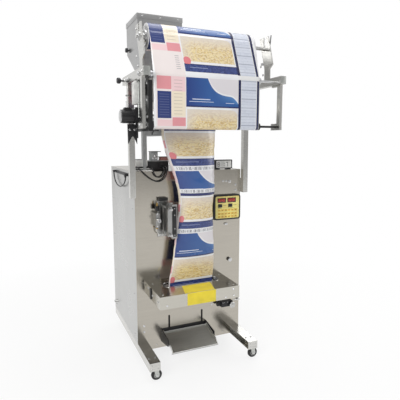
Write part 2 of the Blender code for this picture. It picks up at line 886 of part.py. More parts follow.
def casters():
    """All four casters trail towards +X, so that their wheels roll sideways."""
    places = {
        "front_left": front_caster_places()[0],
        "front_right": front_caster_places()[1],
        "rear_left": rear_caster_places()[0],
        "rear_right": rear_caster_places()[1],
    }
    for where, (x, y) in places.items():
        caster_fork(f"caster_fork_{where}", x, y)
        caster_wheel(f"caster_wheel_{where}", x + CASTER_TRAIL, y)


def caster_fork(name, x, y):
    inner = WHEEL_WIDTH / 2 + FORK_GAP
    top = CASTER_HEIGHT - GAP
    plate_low = top - FORK_WALL - 0.002
    wheel_x = x + CASTER_TRAIL
    far = AXLE_RADIUS + 0.008
    shapes = [
        block(
            (x - FORK_OVERHANG, y - inner - FORK_WALL + FRAME_STEP, plate_low),
            (wheel_x + FORK_OVERHANG, y + inner + FORK_WALL - FRAME_STEP, top - 0.001),
        ),
        rod((x, y, top - 0.004), (x, y, CASTER_HEIGHT + RAIL_WALL - GAP), KING_PIN_RADIUS),
        rod((x, y, top - 0.003), (x, y, top), 0.022),
    ]
    leg = [
        (wheel_x - FORK_LEG_WIDTH * 0.62, plate_low + 0.001),
        (wheel_x + FORK_LEG_WIDTH * 0.38, plate_low + 0.001),
        (wheel_x + far, WHEEL_RADIUS),
        (wheel_x + far * 0.6, WHEEL_RADIUS - far * 0.8),
        (wheel_x - far * 0.6, WHEEL_RADIUS - far * 0.8),
        (wheel_x - far, WHEEL_RADIUS),
    ]
    for low in (y - inner - FORK_WALL, y + inner):
        shapes.append(flat_outline(leg, "Y", low, low + FORK_WALL))
    hole = rod(
        (wheel_x, y - 2 * WHEEL_WIDTH, WHEEL_RADIUS),
        (wheel_x, y + 2 * WHEEL_WIDTH, WHEEL_RADIUS),
        AXLE_RADIUS + RUNNING,
    )
    solid(name, bright_steel(), shapes, [hole], origin=(x, y, CASTER_HEIGHT))


def caster_wheel(name, x, y):
    half, r = WHEEL_WIDTH / 2, WHEEL_RADIUS
    axle_half = half + FORK_GAP + FORK_WALL + 0.002
    profile = [
        (0, axle_half),
        (AXLE_RADIUS, axle_half),
        (AXLE_RADIUS, half),
        (r * 0.72, half),
        (r * 0.92, half * 0.82),
        (r, half * 0.45),
        (r, -half * 0.45),
        (r * 0.92, -half * 0.82),
        (r * 0.72, -half),
        (AXLE_RADIUS, -half),
        (AXLE_RADIUS, -axle_half),
        (0, -axle_half),
    ]
    turned(name, black_rubber(), profile, (x, y, r), Y, steps=32)


# Uprights, arms and film rollers


def bracket_outline():
    """The leaning plate that holds one end of the roll shaft, with a slot that opens upwards."""
    reach = ROLL_SHAFT_RADIUS + RUNNING
    slot = arc((ROLL_Y, ROLL_Z), reach, 180, 360, 10)
    return [
        (ROLL_Y + 0.060, BRACKET_TOP),
        (ROLL_Y + reach, BRACKET_TOP),
        *reversed(slot),
        (ROLL_Y - reach, BRACKET_TOP),
        (ROLL_Y - 0.035, BRACKET_TOP),
        (ROLL_Y - 0.088, ARM_TOP + 0.072),
        (ROLL_Y - 0.058, ARM_TOP + 0.052),
        (ROLL_Y - 0.058, ARM_TOP - 0.004),
        (ROLL_Y - 0.004, ARM_TOP - 0.004),
        (ROLL_Y - 0.004, ARM_TOP + 0.060),
    ]


def upright(side, name):
    post_near = GAP + FRAME_STEP
    post_far = post_near + POST_WIDTH
    arm_near, arm_far = ARM_OFFSET, ARM_OFFSET + ARM_WIDTH
    post_back = POST_FRONT + POST_WIDTH
    w = TUBE_WALL
    plate_top = POST_BOTTOM + CLAMP_PLATE_HEIGHT
    shapes = [
        side_block(side, post_near, post_far, (POST_FRONT, POST_BOTTOM), (post_back, ARM_BOTTOM + w)),
        side_block(side, arm_near, arm_far, (ARM_FRONT, ARM_BOTTOM), (ARM_BACK, ARM_TOP)),
        side_block(
            side,
            GAP,
            GAP + CLAMP_PLATE,
            (post_back - w / 2, POST_BOTTOM + FRAME_STEP),
            (CLAMP_PLATE_REACH, plate_top),
        ),
    ]
    xs = sorted((side_x(side, arm_near), side_x(side, arm_near + BRACKET_PLATE)))
    shapes.append(flat_outline(bracket_outline(), "X", xs[0], xs[1]))
    cuts = [
        side_block(
            side,
            post_near + w,
            post_far - w,
            (POST_FRONT + w, POST_BOTTOM - w),
            (post_back - w, ARM_BOTTOM - w),
        ),
        side_block(
            side,
            arm_near + w,
            arm_far - w,
            (ARM_FRONT - w, ARM_BOTTOM + w),
            (ARM_BACK + w, ARM_TOP - w),
        ),
    ]
    bore_end = arm_near + w + 0.002
    for place, radius in (((ROLLER_Y, TOP_ROLLER_Z), ROLLER_SHAFT_RADIUS + RUNNING),):
        cuts.append(
            rod(
                (side_x(side, arm_near - w), *place),
                (side_x(side, bore_end), *place),
                radius,
            )
        )
    if side == LEFT:
        place = (clamp_knob_y(), clamp_knob_z())
        cuts.append(
            rod(
                (side_x(side, arm_far + w), *place),
                (side_x(side, arm_far - w - 0.002), *place),
                CLAMP_SPINDLE_RADIUS + RUNNING,
            )
        )
    solid(name, steel(), shapes, cuts)


def hanger_bar(side, name):
    """The bar under an arm that holds the draw roller."""
    far = ARM_OFFSET + ARM_WIDTH
    near = far - HANGER_WIDTH
    front = ROLLER_Y - HANGER_DEPTH - 0.010
    low = DRAW_ROLLER_Z - 0.018
    shapes = [
        side_block(side, near, far, (front, low), (front + HANGER_DEPTH, ARM_BOTTOM - GAP)),
        side_block(side, near, far, (front, low), (ROLLER_Y + HANGER_FOOT_BACK, DRAW_ROLLER_Z + 0.018)),
        side_block(
            side,
            near,
            far,
            (front, ARM_BOTTOM - GAP - 0.008),
            (ROLLER_Y + HANGER_FOOT_BACK, ARM_BOTTOM - GAP),
        ),
    ]
    bore = rod(
        (side_x(side, near - 0.004), ROLLER_Y, DRAW_ROLLER_Z),
        (side_x(side, far - 0.004), ROLLER_Y, DRAW_ROLLER_Z),
        ROLLER_SHAFT_RADIUS + RUNNING,
    )
    solid(name, steel(), shapes, [bore])


def roller_profile(low, high, shaft_low, shaft_high, pulley=None):
    """Profile of a roller between shaft ends, measured along its axis from the line's middle."""
    r, s = ROLLER_RADIUS, ROLLER_SHAFT_RADIUS
    profile = [(0, shaft_high), (s, shaft_high), (s, high), (r, high), (r, low), (s, low)]
    if pulley:
        p_low, p_high = pulley
        profile += [(s, p_high), (PULLEY_RADIUS, p_high), (PULLEY_RADIUS, p_low), (s, p_low)]
    return profile + [(s, shaft_low), (0, shaft_low)]


def pulley_span():
    """Where the belt runs: just inside the guard plate."""
    high = FILM_LEFT - ROLLER_OVERHANG - PULLEY_GAP
    return high - PULLEY_WIDTH, high


def rollers():
    low, high = FILM_LEFT - ROLLER_OVERHANG, FILM_RIGHT + ROLLER_OVERHANG
    arm_end = ARM_OFFSET + TUBE_WALL - GAP
    left, right = side_x(LEFT, arm_end), side_x(RIGHT, arm_end)
    profile = roller_profile(low - LINE_X, high - LINE_X, left - LINE_X, right - LINE_X)
    turned("top_guide_roller", aluminium(), profile, (LINE_X, ROLLER_Y, TOP_ROLLER_Z), X)
    foot_end = ARM_OFFSET + ARM_WIDTH - 0.006
    left, right = side_x(LEFT, foot_end), side_x(RIGHT, foot_end)
    p_low, p_high = pulley_span()
    profile = roller_profile(
        low - LINE_X, high - LINE_X, left - LINE_X, right - LINE_X, (p_low - LINE_X, p_high - LINE_X)
    )
    turned("draw_roller", black_rubber(), profile, (LINE_X, ROLLER_Y, DRAW_ROLLER_Z), X)


def roll_and_shaft():
    end = ARM_OFFSET + BRACKET_PLATE + ROLL_SHAFT_END
    left, right = side_x(LEFT, end) - LINE_X, side_x(RIGHT, end) - LINE_X
    half = FILM_WIDTH / 2
    s, c = ROLL_SHAFT_RADIUS, ROLL_BORE_RADIUS - GAP
    profile = [
        (0, right),
        (s, right),
        (s, half + 0.006),
        (c + 0.006, half + 0.006),
        (c + 0.006, half + GAP),
        (c, half + GAP),
        (c, half - CONE_LENGTH),
        (s, half - CONE_LENGTH),
        (s, -half + CONE_LENGTH),
        (c, -half + CONE_LENGTH),
        (c, -half - GAP),
        (c + 0.006, -half - GAP),
        (c + 0.006, -half - 0.006),
        (s, -half - 0.006),
        (s, left),
        (0, left),
    ]
    turned("roll_shaft", bright_steel(), profile, (LINE_X, ROLL_Y, ROLL_Z), X)
    outer, bore = ROLL_RADIUS, ROLL_BORE_RADIUS
    profile = [(outer, half), (outer, -half), (bore, -half), (bore, half)]
    turned("film_roll", printed_film(), profile, (LINE_X, ROLL_Y, ROLL_Z), X, steps=48)


# Film


def tangent(centre_a, radius_a, centre_b, radius_b, side):
    """Ends of the line that touches two circles on the same side, in the y-z plane."""
    a, b = Vector(centre_a), Vector(centre_b)
    along = (b - a).normalized()
    cross = Vector((along.y, -along.x)) * side
    k = (radius_a - radius_b) / (b - a).length
    normal = along * k + cross * math.sqrt(1 - k * k)
    return a + normal * radius_a, b + normal * radius_b, normal


def turn_between(centre, radius, start, end, steps):
    """Points round a roller from one direction to another, the short way that the film takes."""
    a, b = math.atan2(start.y, start.x), math.atan2(end.y, end.x)
    if b < a:
        b += 2 * math.pi
    angles = [a + (b - a) * i / steps for i in range(1, steps)]
    return [Vector((centre[0] + radius * math.cos(t), centre[1] + radius * math.sin(t))) for t in angles]


def film_path():
    """The film's middle surface from the roll to the collar's lip: (y, z) and its share of narrowing."""
    lift = GAP + FILM_THICKNESS / 2
    roll, top, draw = (ROLL_Y, ROLL_Z), (ROLLER_Y, TOP_ROLLER_Z), (ROLLER_Y, DRAW_ROLLER_Z)
    lip = (LINE_Y - collar_half_depth(COLLAR_TOP) - 0.002, COLLAR_TOP + 0.003)
    r = ROLLER_RADIUS + lift
    a, b, normal_in = tangent(roll, ROLL_RADIUS + lift, top, r, 1)
    front = Vector((-1, 0))
    c, d, normal_out = tangent(draw, r, lip, 0, 1)
    path = [a, a.lerp(b, 0.5), b]
    path += turn_between(top, r, normal_in, front, 4)
    upper, lower = Vector((ROLLER_Y - r, TOP_ROLLER_Z)), Vector((ROLLER_Y - r, DRAW_ROLLER_Z))
    path += [upper, upper.lerp(lower, 0.35), upper.lerp(lower, 0.7), lower]
    path += turn_between(draw, r, front, normal_out, 8)
    flat = len(path)
    path += [c, c.lerp(d, 0.5), d]
    return path, flat


def film_web():
    path, flat = film_path()
    half_end = film_section_at(COLLAR_TOP)
    rings = []
    for i, point in enumerate(path):
        share = max(0, i - flat) / (len(path) - 1 - flat)
        left = FILM_LEFT * (1 - share) + (LINE_X + half_end[0]) * share
        right = FILM_RIGHT * (1 - share) + (LINE_X + half_end[1]) * share
        columns = 6
        rings.append(
            [(left + (right - left) * k / columns, point.x, point.y) for k in range(columns + 1)]
        )
    web = ring_surface("film_web", printed_film(), rings, FILM_THICKNESS, False, closed=False)
    web.modifiers["wall"].offset = 0
    return web


def film_section_at(z):
    """Left, right and half depth of the film tube at a height, straight between its sections."""
    if z >= FILM_SECTIONS[0][0]:
        return FILM_SECTIONS[0][1:]
    for upper, lower in zip(FILM_SECTIONS, FILM_SECTIONS[1:]):
        if z >= lower[0]:
            t = (upper[0] - z) / (upper[0] - lower[0])
            return tuple(u * (1 - t) + v * t for u, v in zip(upper[1:], lower[1:]))
    return FILM_SECTIONS[-1][1:]


def film_ring(z):
    left, right, half_depth = film_section_at(z)
    return oval(LINE_X + left, LINE_X + right, LINE_Y, half_depth, z, RING_POINTS)


def film_tube():
    """The film below the collar, and its flat end between the jaws as a node of its own."""
    heights = [section[0] for section in FILM_SECTIONS]
    open_part = [z for z in heights if z > FILM_SPLIT] + [FILM_SPLIT]
    flat_part = [FILM_SPLIT - GAP] + [z for z in heights if z < FILM_SPLIT - GAP]
    for name, part in (("film_tube", open_part), ("film_end", flat_part)):
        ring_surface(name, printed_film(), [film_ring(z) for z in part], FILM_THICKNESS, False)


# Forming set


def forming_tube():
    r, wall = FORMING_TUBE_RADIUS, SHEET
    profile = [
        (FUNNEL_RADIUS, FUNNEL_TOP),
        (r, FORMING_TUBE_TOP),
        (r, FORMING_TUBE_BOTTOM),
        (r - wall, FORMING_TUBE_BOTTOM),
        (r - wall, FORMING_TUBE_TOP),
        (FUNNEL_RADIUS - wall, FUNNEL_TOP),
    ]
    profile = [(radius, z - FORMING_TUBE_BOTTOM) for radius, z in profile]
    tube = turned("forming_tube", steel(), profile, (LINE_X, LINE_Y, FORMING_TUBE_BOTTOM), Z)
    tab_low = TUBE_BAR_Z + BAR_HEIGHT + GAP
    tab = block(
        (LINE_X - TAB_WIDTH / 2, LINE_Y + r - wall / 2, tab_low),
        (LINE_X + TAB_WIDTH / 2, STAND_POST_Y + STAND_POST / 2, tab_low + SHEET),
    )
    add_helper(tube, tab, "UNION")


def collar_half_depth(z):
    """The collar is parallel to the film at its bottom and flares towards its top."""
    t = (z - COLLAR_BOTTOM) / (COLLAR_TOP - COLLAR_BOTTOM)
    return film_section_at(COLLAR_BOTTOM)[2] + FILM_CLEARANCE + COLLAR_FLARE * t * t


def former_collar():
    rings = []
    left, right, _ = film_section_at(COLLAR_BOTTOM)
    steps = 6
    for i in range(steps + 1):
        z = COLLAR_TOP + (COLLAR_BOTTOM - COLLAR_TOP) * i / steps
        half_depth = collar_half_depth(z)
        flare = half_depth - film_section_at(COLLAR_BOTTOM)[2]
        rings.append(
            oval(LINE_X + left - flare, LINE_X + right + flare, LINE_Y, half_depth, z, RING_POINTS)
        )
    collar = ring_surface("former_collar", bright_steel(), rings, 0.0015, True)
    tab_low = COLLAR_BAR_Z + BAR_HEIGHT + GAP
    tab = block(
        (LINE_X - 0.040, LINE_Y + collar_half_depth(tab_low) + 0.0005, tab_low),
        (LINE_X + 0.040, STAND_POST_Y + STAND_POST / 2, tab_low + 0.003),
    )
    add_helper(collar, tab, "UNION")


# Hopper and feeder


def hopper():
    def square(half_x, half_y, z):
        corners = ((-half_x, -half_y), (half_x, -half_y), (half_x, half_y), (-half_x, half_y))
        return [(HOPPER_X + x, HOPPER_Y + y, z) for x, y in corners]

    half = NECK_SIZE / 2
    rings = [
        square(HOPPER_WIDTH / 2, HOPPER_DEPTH / 2, HOPPER_TOP),
        square(HOPPER_WIDTH / 2, HOPPER_DEPTH / 2, HOPPER_SHOULDER),
        square(half, half, HOPPER_NECK_TOP),
        square(half, half, HOPPER_NECK_BOTTOM),
    ]
    made = ring_surface("hopper", steel(), rings, SHEET, False)
    rail_top = HOPPER_NECK_BOTTOM - 2 * GAP - GATE_THICKNESS
    rail_low = rail_top - SHEET
    pieces = (
        (half - 0.001, half + 0.008, HOPPER_NECK_BOTTOM + 0.0005, HOPPER_NECK_BOTTOM + 0.003),
        (half + 0.004, half + 0.0075, rail_low + 0.0005, HOPPER_NECK_BOTTOM + 0.002),
        (half - 0.003, half + 0.007, rail_low, rail_top),
    )
    for side in (-1, 1):
        for near, far, low, high in pieces:
            ys = sorted((HOPPER_Y + side * near, HOPPER_Y + side * far))
            add_helper(made, block((HOPPER_X - half, ys[0], low), (HOPPER_X + half, ys[1], high)), "UNION")


def hopper_gate():
    half = NECK_SIZE / 2
    high = HOPPER_NECK_BOTTOM - GAP
    low = high - GATE_THICKNESS
    left = HOPPER_X - half - GATE_HANDLE_REACH
    shapes = [
        block(
            (HOPPER_X - half, HOPPER_Y - half - 0.0025, low),
            (HOPPER_X + half, HOPPER_Y + half + 0.0025, high),
        ),
        block(
            (left, HOPPER_Y - half + 0.006, low + 0.0005),
            (HOPPER_X, HOPPER_Y + half - 0.006, high - 0.0005),
        ),
        block(
            (left, HOPPER_Y - half + 0.004, low - 0.010),
            (left + 0.003, HOPPER_Y + half - 0.004, high + 0.010),
        ),
    ]
    solid("hopper_gate", steel(), shapes, origin=(HOPPER_X, HOPPER_Y, low))


def hopper_stand():
    low = CABINET_TOP + GAP
    mast_front = HOPPER_BACK + GAP
    half = STAND_POST / 2
    mast_x = HOPPER_X - MAST_SHIFT
    shapes = [
        block(
            (mast_x - MAST_WIDTH / 2, mast_front, low),
            (mast_x + MAST_WIDTH / 2, mast_front + MAST_DEPTH, HOPPER_SHOULDER + MAST_OVERLAP),
        ),
        block(
            (mast_x - MAST_WIDTH, mast_front - 0.040, low),
            (mast_x + MAST_WIDTH, mast_front + MAST_DEPTH, low + STAND_FOOT),
        ),
        block(
            (HOPPER_X - BEAM_WIDTH / 2, STAND_POST_Y - half, BEAM_BOTTOM),
            (HOPPER_X + BEAM_WIDTH / 2, mast_front + MAST_DEPTH / 2, BEAM_BOTTOM + BEAM_HEIGHT),
        ),
        block(
            (STAND_POST_LEFT, STAND_POST_Y - half, BEAM_BOTTOM),
            (STAND_POST_RIGHT, STAND_POST_Y + half, BEAM_BOTTOM + BEAM_HEIGHT),
        ),
    ]
    for x in (STAND_POST_LEFT, STAND_POST_RIGHT):
        shapes.append(
            block(
                (x - half, STAND_POST_Y - half, low),
                (x + half, STAND_POST_Y + half, TUBE_BAR_Z + BAR_HEIGHT),
            )
        )
        foot = 2.2 * half
        shapes.append(
            block((x - foot, STAND_POST_Y - foot, low), (x + foot, STAND_POST_Y + foot, low + STAND_FOOT))
        )
    for z in (COLLAR_BAR_Z, TUBE_BAR_Z):
        shapes.append(
            block(
                (STAND_POST_LEFT, STAND_POST_Y - half + 0.002, z),
                (STAND_POST_RIGHT, STAND_POST_Y + half - 0.002, z + BAR_HEIGHT),
            )
        )
    solid("hopper_stand", painted_grey(), shapes)


def trough_x():
    """The trough runs from under the hopper's neck to over the forming tube, so it covers both."""
    middle = (HOPPER_X + LINE_X) / 2
    return middle - TROUGH_WIDTH / 2, middle + TROUGH_WIDTH / 2


def feeder_trough():
    left, right = trough_x()
    shell = block((left, TROUGH_FRONT, TROUGH_BOTTOM), (right, TROUGH_BACK, TROUGH_BOTTOM + TROUGH_HEIGHT))
    hollow = block(
        (left + SHEET, TROUGH_FRONT - SHEET, TROUGH_BOTTOM + SHEET),
        (right - SHEET, TROUGH_BACK - SHEET, TROUGH_BOTTOM + TROUGH_HEIGHT + SHEET),
    )
    solid("feeder_trough", steel(), [shell], [hollow])


def feeder_drive():
    low = BEAM_BOTTOM + BEAM_HEIGHT + GAP
    left, right = HOPPER_X - DRIVE_WIDTH / 2, HOPPER_X + DRIVE_WIDTH / 2
    front, back = DRIVE_FRONT, DRIVE_FRONT + DRIVE_LENGTH
    shapes = [block((left, front, low), (right, back, low + DRIVE_HEIGHT))]
    for y in (front + LEAF_INSET, back - LEAF_INSET - LEAF_THICKNESS):
        shapes.append(
            block(
                (left + LEAF_INSET, y, low + DRIVE_HEIGHT / 2),
                (right - LEAF_INSET, y + LEAF_THICKNESS, TROUGH_BOTTOM - GAP),
            )
        )
    solid("feeder_drive", painted_grey(), shapes)


# Horizontal sealing


def seal_box():
    shell = block((BOX_LEFT, -BOX_DEPTH, BOX_BOTTOM), (BOX_RIGHT, -GAP, BOX_TOP))
    hollow = block(
        (BOX_LEFT + SHEET, -BOX_DEPTH + SHEET, BOX_BOTTOM - SHEET),
        (BOX_RIGHT - SHEET, SHEET, BOX_TOP - SHEET),
    )
    slot = flat_outline(
        stadium((LINE_X + 0.006, SLOT_Y), SLOT_LENGTH, SLOT_WIDTH),
        "Z",
        BOX_TOP - 2 * SHEET,
        BOX_TOP + SHEET,
    )
    solid("seal_box", steel(), [shell], [hollow, slot])


def jaw_faces():
    """Where the front and rear jaws' faces stand when open."""
    return LINE_Y - JAW_OPENING, LINE_Y + JAW_OPENING


def front_jaw():
    face = jaw_faces()[0]
    low, high = JAW_Z - JAW_HEIGHT / 2, JAW_Z + JAW_HEIGHT / 2
    shapes = [block((JAW_LEFT, face - JAW_DEPTH, low), (JAW_RIGHT, face, high))]
    for x in JAW_RODS:
        shapes.append(
            rod((x, face - JAW_DEPTH / 2, JAW_Z), (x, YOKE_Y + YOKE_DEPTH / 2, JAW_Z), JAW_ROD_RADIUS)
        )
    shapes.append(
        block(
            (JAW_RODS[0] - 0.020, YOKE_Y, JAW_Z - 0.018),
            (JAW_RODS[1] + 0.020, YOKE_Y + YOKE_DEPTH, JAW_Z + 0.018),
        )
    )
    solid("front_jaw", bright_steel(), shapes, origin=(LINE_X, face, JAW_Z))


def rear_jaw():
    face = jaw_faces()[1]
    low, high = JAW_Z - JAW_HEIGHT / 2, JAW_Z + JAW_HEIGHT / 2
    back = min(face + JAW_DEPTH, -0.004)
    shapes = [
        block((JAW_LEFT, face, low), (JAW_RIGHT, back, high)),
        rod(
            (LINE_X, (face + back) / 2, JAW_Z),
            (LINE_X, CYLINDER_FRONT + PISTON_ROD_REACH, JAW_Z),
            PISTON_ROD_RADIUS,
        ),
    ]
    cuts = []
    for x in JAW_RODS:
        cuts.append(rod((x, face - 0.005, JAW_Z), (x, back + 0.005, JAW_Z), JAW_ROD_RADIUS + FREE))
    solid("rear_jaw", bright_steel(), shapes, cuts, origin=(LINE_X, face, JAW_Z))


def jaw_cylinder():
    half = CYLINDER_SIZE / 2
    y = CYLINDER_FRONT
    shapes = [
        block((LINE_X - half, y, JAW_Z - half), (LINE_X + half, y + 0.025, JAW_Z + half)),
        rod((LINE_X, y + 0.020, JAW_Z), (LINE_X, y + CYLINDER_LENGTH - 0.020, JAW_Z), half - 0.003, FINE),
        block(
            (LINE_X - half, y + CYLINDER_LENGTH - 0.025, JAW_Z - half),
            (LINE_X + half, y + CYLINDER_LENGTH, JAW_Z + half),
        ),
    ]
    bore = rod(
        (LINE_X, y - 0.005, JAW_Z), (LINE_X, y + CYLINDER_BORE_DEPTH, JAW_Z), PISTON_ROD_RADIUS + RUNNING
    )
    solid("jaw_cylinder", aluminium(), shapes, [bore])


# Vertical sealing


def seal_bracket():
    """Base plate, two guide rods and the air cylinder of the vertical sealer."""
    left, right = SEAL_BASE_LEFT, SEAL_BASE_LEFT + SEAL_BASE_WIDTH
    block_left = left - SEAL_BLOCK_WIDTH
    shapes = [block((left, -SEAL_BASE_PLATE, SEAL_BASE_BOTTOM), (right, -GAP, SEAL_BASE_TOP))]
    for z in SEAL_RODS_Z:
        shapes.append(
            rod((SEAL_ROD_X, SEAL_ROD_END, z), (SEAL_ROD_X, -SEAL_BASE_PLATE / 2, z), SEAL_ROD_RADIUS, 16)
        )
    shapes.append(
        block((block_left, -0.052, SEAL_MIDDLE_Z - 0.040), (left + 0.002, -GAP, SEAL_MIDDLE_Z + 0.040))
    )
    shapes.append(rod((0.123, -0.030, 0.848), (0.123, -0.030, 0.862), 0.0045, 12))
    shapes.append(rod((0.207, -0.025, 0.870), (0.207, -0.025, 0.884), 0.0045, 12))
    shapes.append(block((0.196, -0.034, 0.882), (0.216, -GAP, 0.896)))
    shapes.append(block((right - 0.012, -SEAL_BASE_PLATE, 0.880), (0.200, -GAP, 0.898)))
    solid("seal_bracket", painted_grey(), shapes)


def seal_bar(name, toward):
    """One heated bar with its carriage on the guide rods; toward is the side that it comes from."""
    face = LINE_Y + toward * SEAL_OPENING
    back = face + toward * SEAL_BAR_DEPTH
    ys = sorted((face, back))
    carriage = sorted((face + toward * 0.001, back + toward * 0.002))
    low, high = SEAL_MIDDLE_Z - SEAL_BAR_LENGTH / 2, SEAL_MIDDLE_Z + SEAL_BAR_LENGTH / 2
    half = SEAL_CARRIAGE_WIDTH / 2
    shapes = [
        block((SEAL_ROD_X + half - 0.001, ys[0], low), (SEAL_BAR_RIGHT, ys[1], high)),
        block(
            (SEAL_ROD_X - half, carriage[0], SEAL_RODS_Z[0] - 0.012),
            (SEAL_ROD_X + half, carriage[1], SEAL_RODS_Z[1] + 0.012),
        ),
    ]
    cuts = []
    for z in SEAL_RODS_Z:
        cuts.append(
            rod(
                (SEAL_ROD_X, carriage[0] - 0.005, z),
                (SEAL_ROD_X, carriage[1] + 0.005, z),
                SEAL_ROD_RADIUS + RUNNING,
                16,
            )
        )
    solid(name, bright_steel(), shapes, cuts, origin=(SEAL_ROD_X, face, SEAL_MIDDLE_Z))


# Film drive


def guard_x():
    high = -ARM_OFFSET + GUARD_PLATE + GAP
    return high - GUARD_PLATE, high


def belt_guard():
    """The black plate on the left arm that carries the motor and covers the belt's outer side."""
    low_x, high_x = guard_x()
    front, back = ROLLER_Y - 0.026, MOTOR_Y + 0.045
    bottom = DRAW_ROLLER_Z - 0.030
    shapes = [
        block((low_x, front, bottom), (high_x, back, ARM_TOP - 0.010)),
        block(
            (low_x, front, bottom),
            (high_x + 0.018, front + 0.003, TOP_ROLLER_Z - ROLLER_RADIUS - 0.012),
        ),
    ]
    cuts = [
        rod(
            (low_x - 0.005, ROLLER_Y, TOP_ROLLER_Z),
            (high_x + 0.005, ROLLER_Y, TOP_ROLLER_Z),
            ROLLER_SHAFT_RADIUS + FREE,
        ),
        rod(
            (low_x - 0.005, ROLLER_Y, DRAW_ROLLER_Z),
            (high_x + 0.005, ROLLER_Y, DRAW_ROLLER_Z),
            ROLLER_SHAFT_RADIUS + FREE,
        ),
        rod(
            (low_x - 0.005, MOTOR_Y, MOTOR_Z),
            (high_x + 0.005, MOTOR_Y, MOTOR_Z),
            DRIVE_SHAFT_RADIUS + FREE,
        ),
    ]
    solid("belt_guard", black_metal(), shapes, cuts)


def feed_motor():
    """The gearmotor: a round motor on a gear housing, which is bored for the drive shaft."""
    high = guard_x()[0] - GAP
    low = high - GEARBOX_LENGTH
    shapes = [
        block(
            (low, MOTOR_Y - GEARBOX_DEPTH / 2, MOTOR_Z - GEARBOX_HEIGHT / 2),
            (high, MOTOR_Y + GEARBOX_DEPTH / 2, MOTOR_Z + GEARBOX_HEIGHT / 2),
        ),
        rod((low - MOTOR_LENGTH, MOTOR_Y, MOTOR_Z), (low + 0.002, MOTOR_Y, MOTOR_Z), MOTOR_RADIUS, FINE),
    ]
    bore = rod(
        (high - 0.020, MOTOR_Y, MOTOR_Z),
        (high + 0.005, MOTOR_Y, MOTOR_Z),
        DRIVE_SHAFT_RADIUS + RUNNING,
    )
    solid("feed_motor", black_metal(), shapes, [bore])


def drive_pulley():
    low, high = pulley_span()
    shaft_end = guard_x()[0] - GAP - 0.018
    r, s = PULLEY_RADIUS, DRIVE_SHAFT_RADIUS
    profile = [(0, high), (r, high), (r, low), (s, low), (s, shaft_end), (0, shaft_end)]
    profile = [(radius, x - low) for radius, x in profile]
    turned("drive_pulley", aluminium(), profile, (low, MOTOR_Y, MOTOR_Z), X)


def timing_belt():
    low, high = pulley_span()
    inner = PULLEY_RADIUS + GAP
    outer = inner + BELT_THICKNESS
    a, b = Vector((ROLLER_Y, DRAW_ROLLER_Z)), Vector((MOTOR_Y, MOTOR_Z))
    angle = math.degrees(math.atan2(b.y - a.y, b.x - a.x))

    def loop(radius):
        return arc(b, radius, angle - 90, angle + 90, 12) + arc(a, radius, angle + 90, angle + 270, 12)

    belt = solid(
        "timing_belt",
        black_rubber(),
        [flat_outline(loop(outer), "X", low + 0.001, high - 0.001)],
        [flat_outline(loop(inner), "X", low - 0.001, high + 0.001)],
    )
    return belt


def clamp_knob_y():
    return POST_FRONT + POST_WIDTH / 2


def clamp_knob_z():
    return ARM_BOTTOM + ARM_HEIGHT / 2


def arm_clamp_knob():
    y, z = clamp_knob_y(), clamp_knob_z()
    inner = -(ARM_OFFSET + ARM_WIDTH) + TUBE_WALL - GAP
    outer = -(ARM_OFFSET + ARM_WIDTH) - CLAMP_SPINDLE_LENGTH
    r, s, length = CLAMP_KNOB_RADIUS, CLAMP_SPINDLE_RADIUS, CLAMP_KNOB_LENGTH
    profile = [
        (0, inner),
        (s, inner),
        (s, outer + length),
        (r * 0.6, outer + length),
        (r, outer + length * 0.75),
        (r, outer + length * 0.2),
        (r * 0.8, outer),
        (0, outer),
    ]
    profile = [(radius, x - inner) for radius, x in profile]
    turned("arm_clamp_knob", black_plastic(), profile, (inner, y, z), X, steps=24)


# Fittings


def control_panel():
    made = solid(
        "control_panel",
        black_plastic(),
        [
            block(
                (PANEL_LEFT, -PANEL_DEPTH, PANEL_BOTTOM),
                (PANEL_LEFT + PANEL_WIDTH, -GAP, PANEL_BOTTOM + PANEL_HEIGHT),
            )
        ],
    )
    bevel(made, 0.005)


def bevel(made, width):
    rounding = made.modifiers.new("rounding", "BEVEL")
    rounding.width = width
    rounding.segments = 2


def power_switch():
    profile = [
        (0, SWITCH_LENGTH),
        (SWITCH_RADIUS * 0.8, SWITCH_LENGTH),
        (SWITCH_RADIUS, SWITCH_LENGTH * 0.8),
        (SWITCH_RADIUS, 0),
        (0, 0),
    ]
    turned("power_switch", black_plastic(), profile, (SWITCH_X, -GAP, SWITCH_Z), -Y, steps=24)


def air_regulator():
    left, right = REGULATOR_LEFT, REGULATOR_LEFT + REGULATOR_WIDTH
    low, high = REGULATOR_BOTTOM, REGULATOR_BOTTOM + REGULATOR_HEIGHT
    middle_z, middle_y = (low + high) / 2, -REGULATOR_DEPTH / 2
    gauge_x = right - GAUGE_RADIUS * 0.4
    shapes = [
        block((left, -REGULATOR_DEPTH, low), (right, -GAP, high)),
        rod(
            (gauge_x, -REGULATOR_DEPTH - GAUGE_DEPTH, middle_z - 0.006),
            (gauge_x, -REGULATOR_DEPTH + 0.002, middle_z - 0.006),
            GAUGE_RADIUS,
        ),
        rod(
            (right - 0.002, middle_y, high - 0.010),
            (CABINET_WIDTH - 0.010, middle_y, high - 0.010),
            0.004,
            12,
        ),
        rod(
            (CABINET_WIDTH - 0.016, middle_y, high - 0.010),
            (CABINET_WIDTH - 0.016, -GAP, high - 0.010),
            0.005,
            12,
        ),
    ]
    bore = rod((left - 0.002, middle_y, middle_z), (left + 0.010, middle_y, middle_z), 0.004 + RUNNING, 16)
    solid("air_regulator", black_plastic(), shapes, [bore])


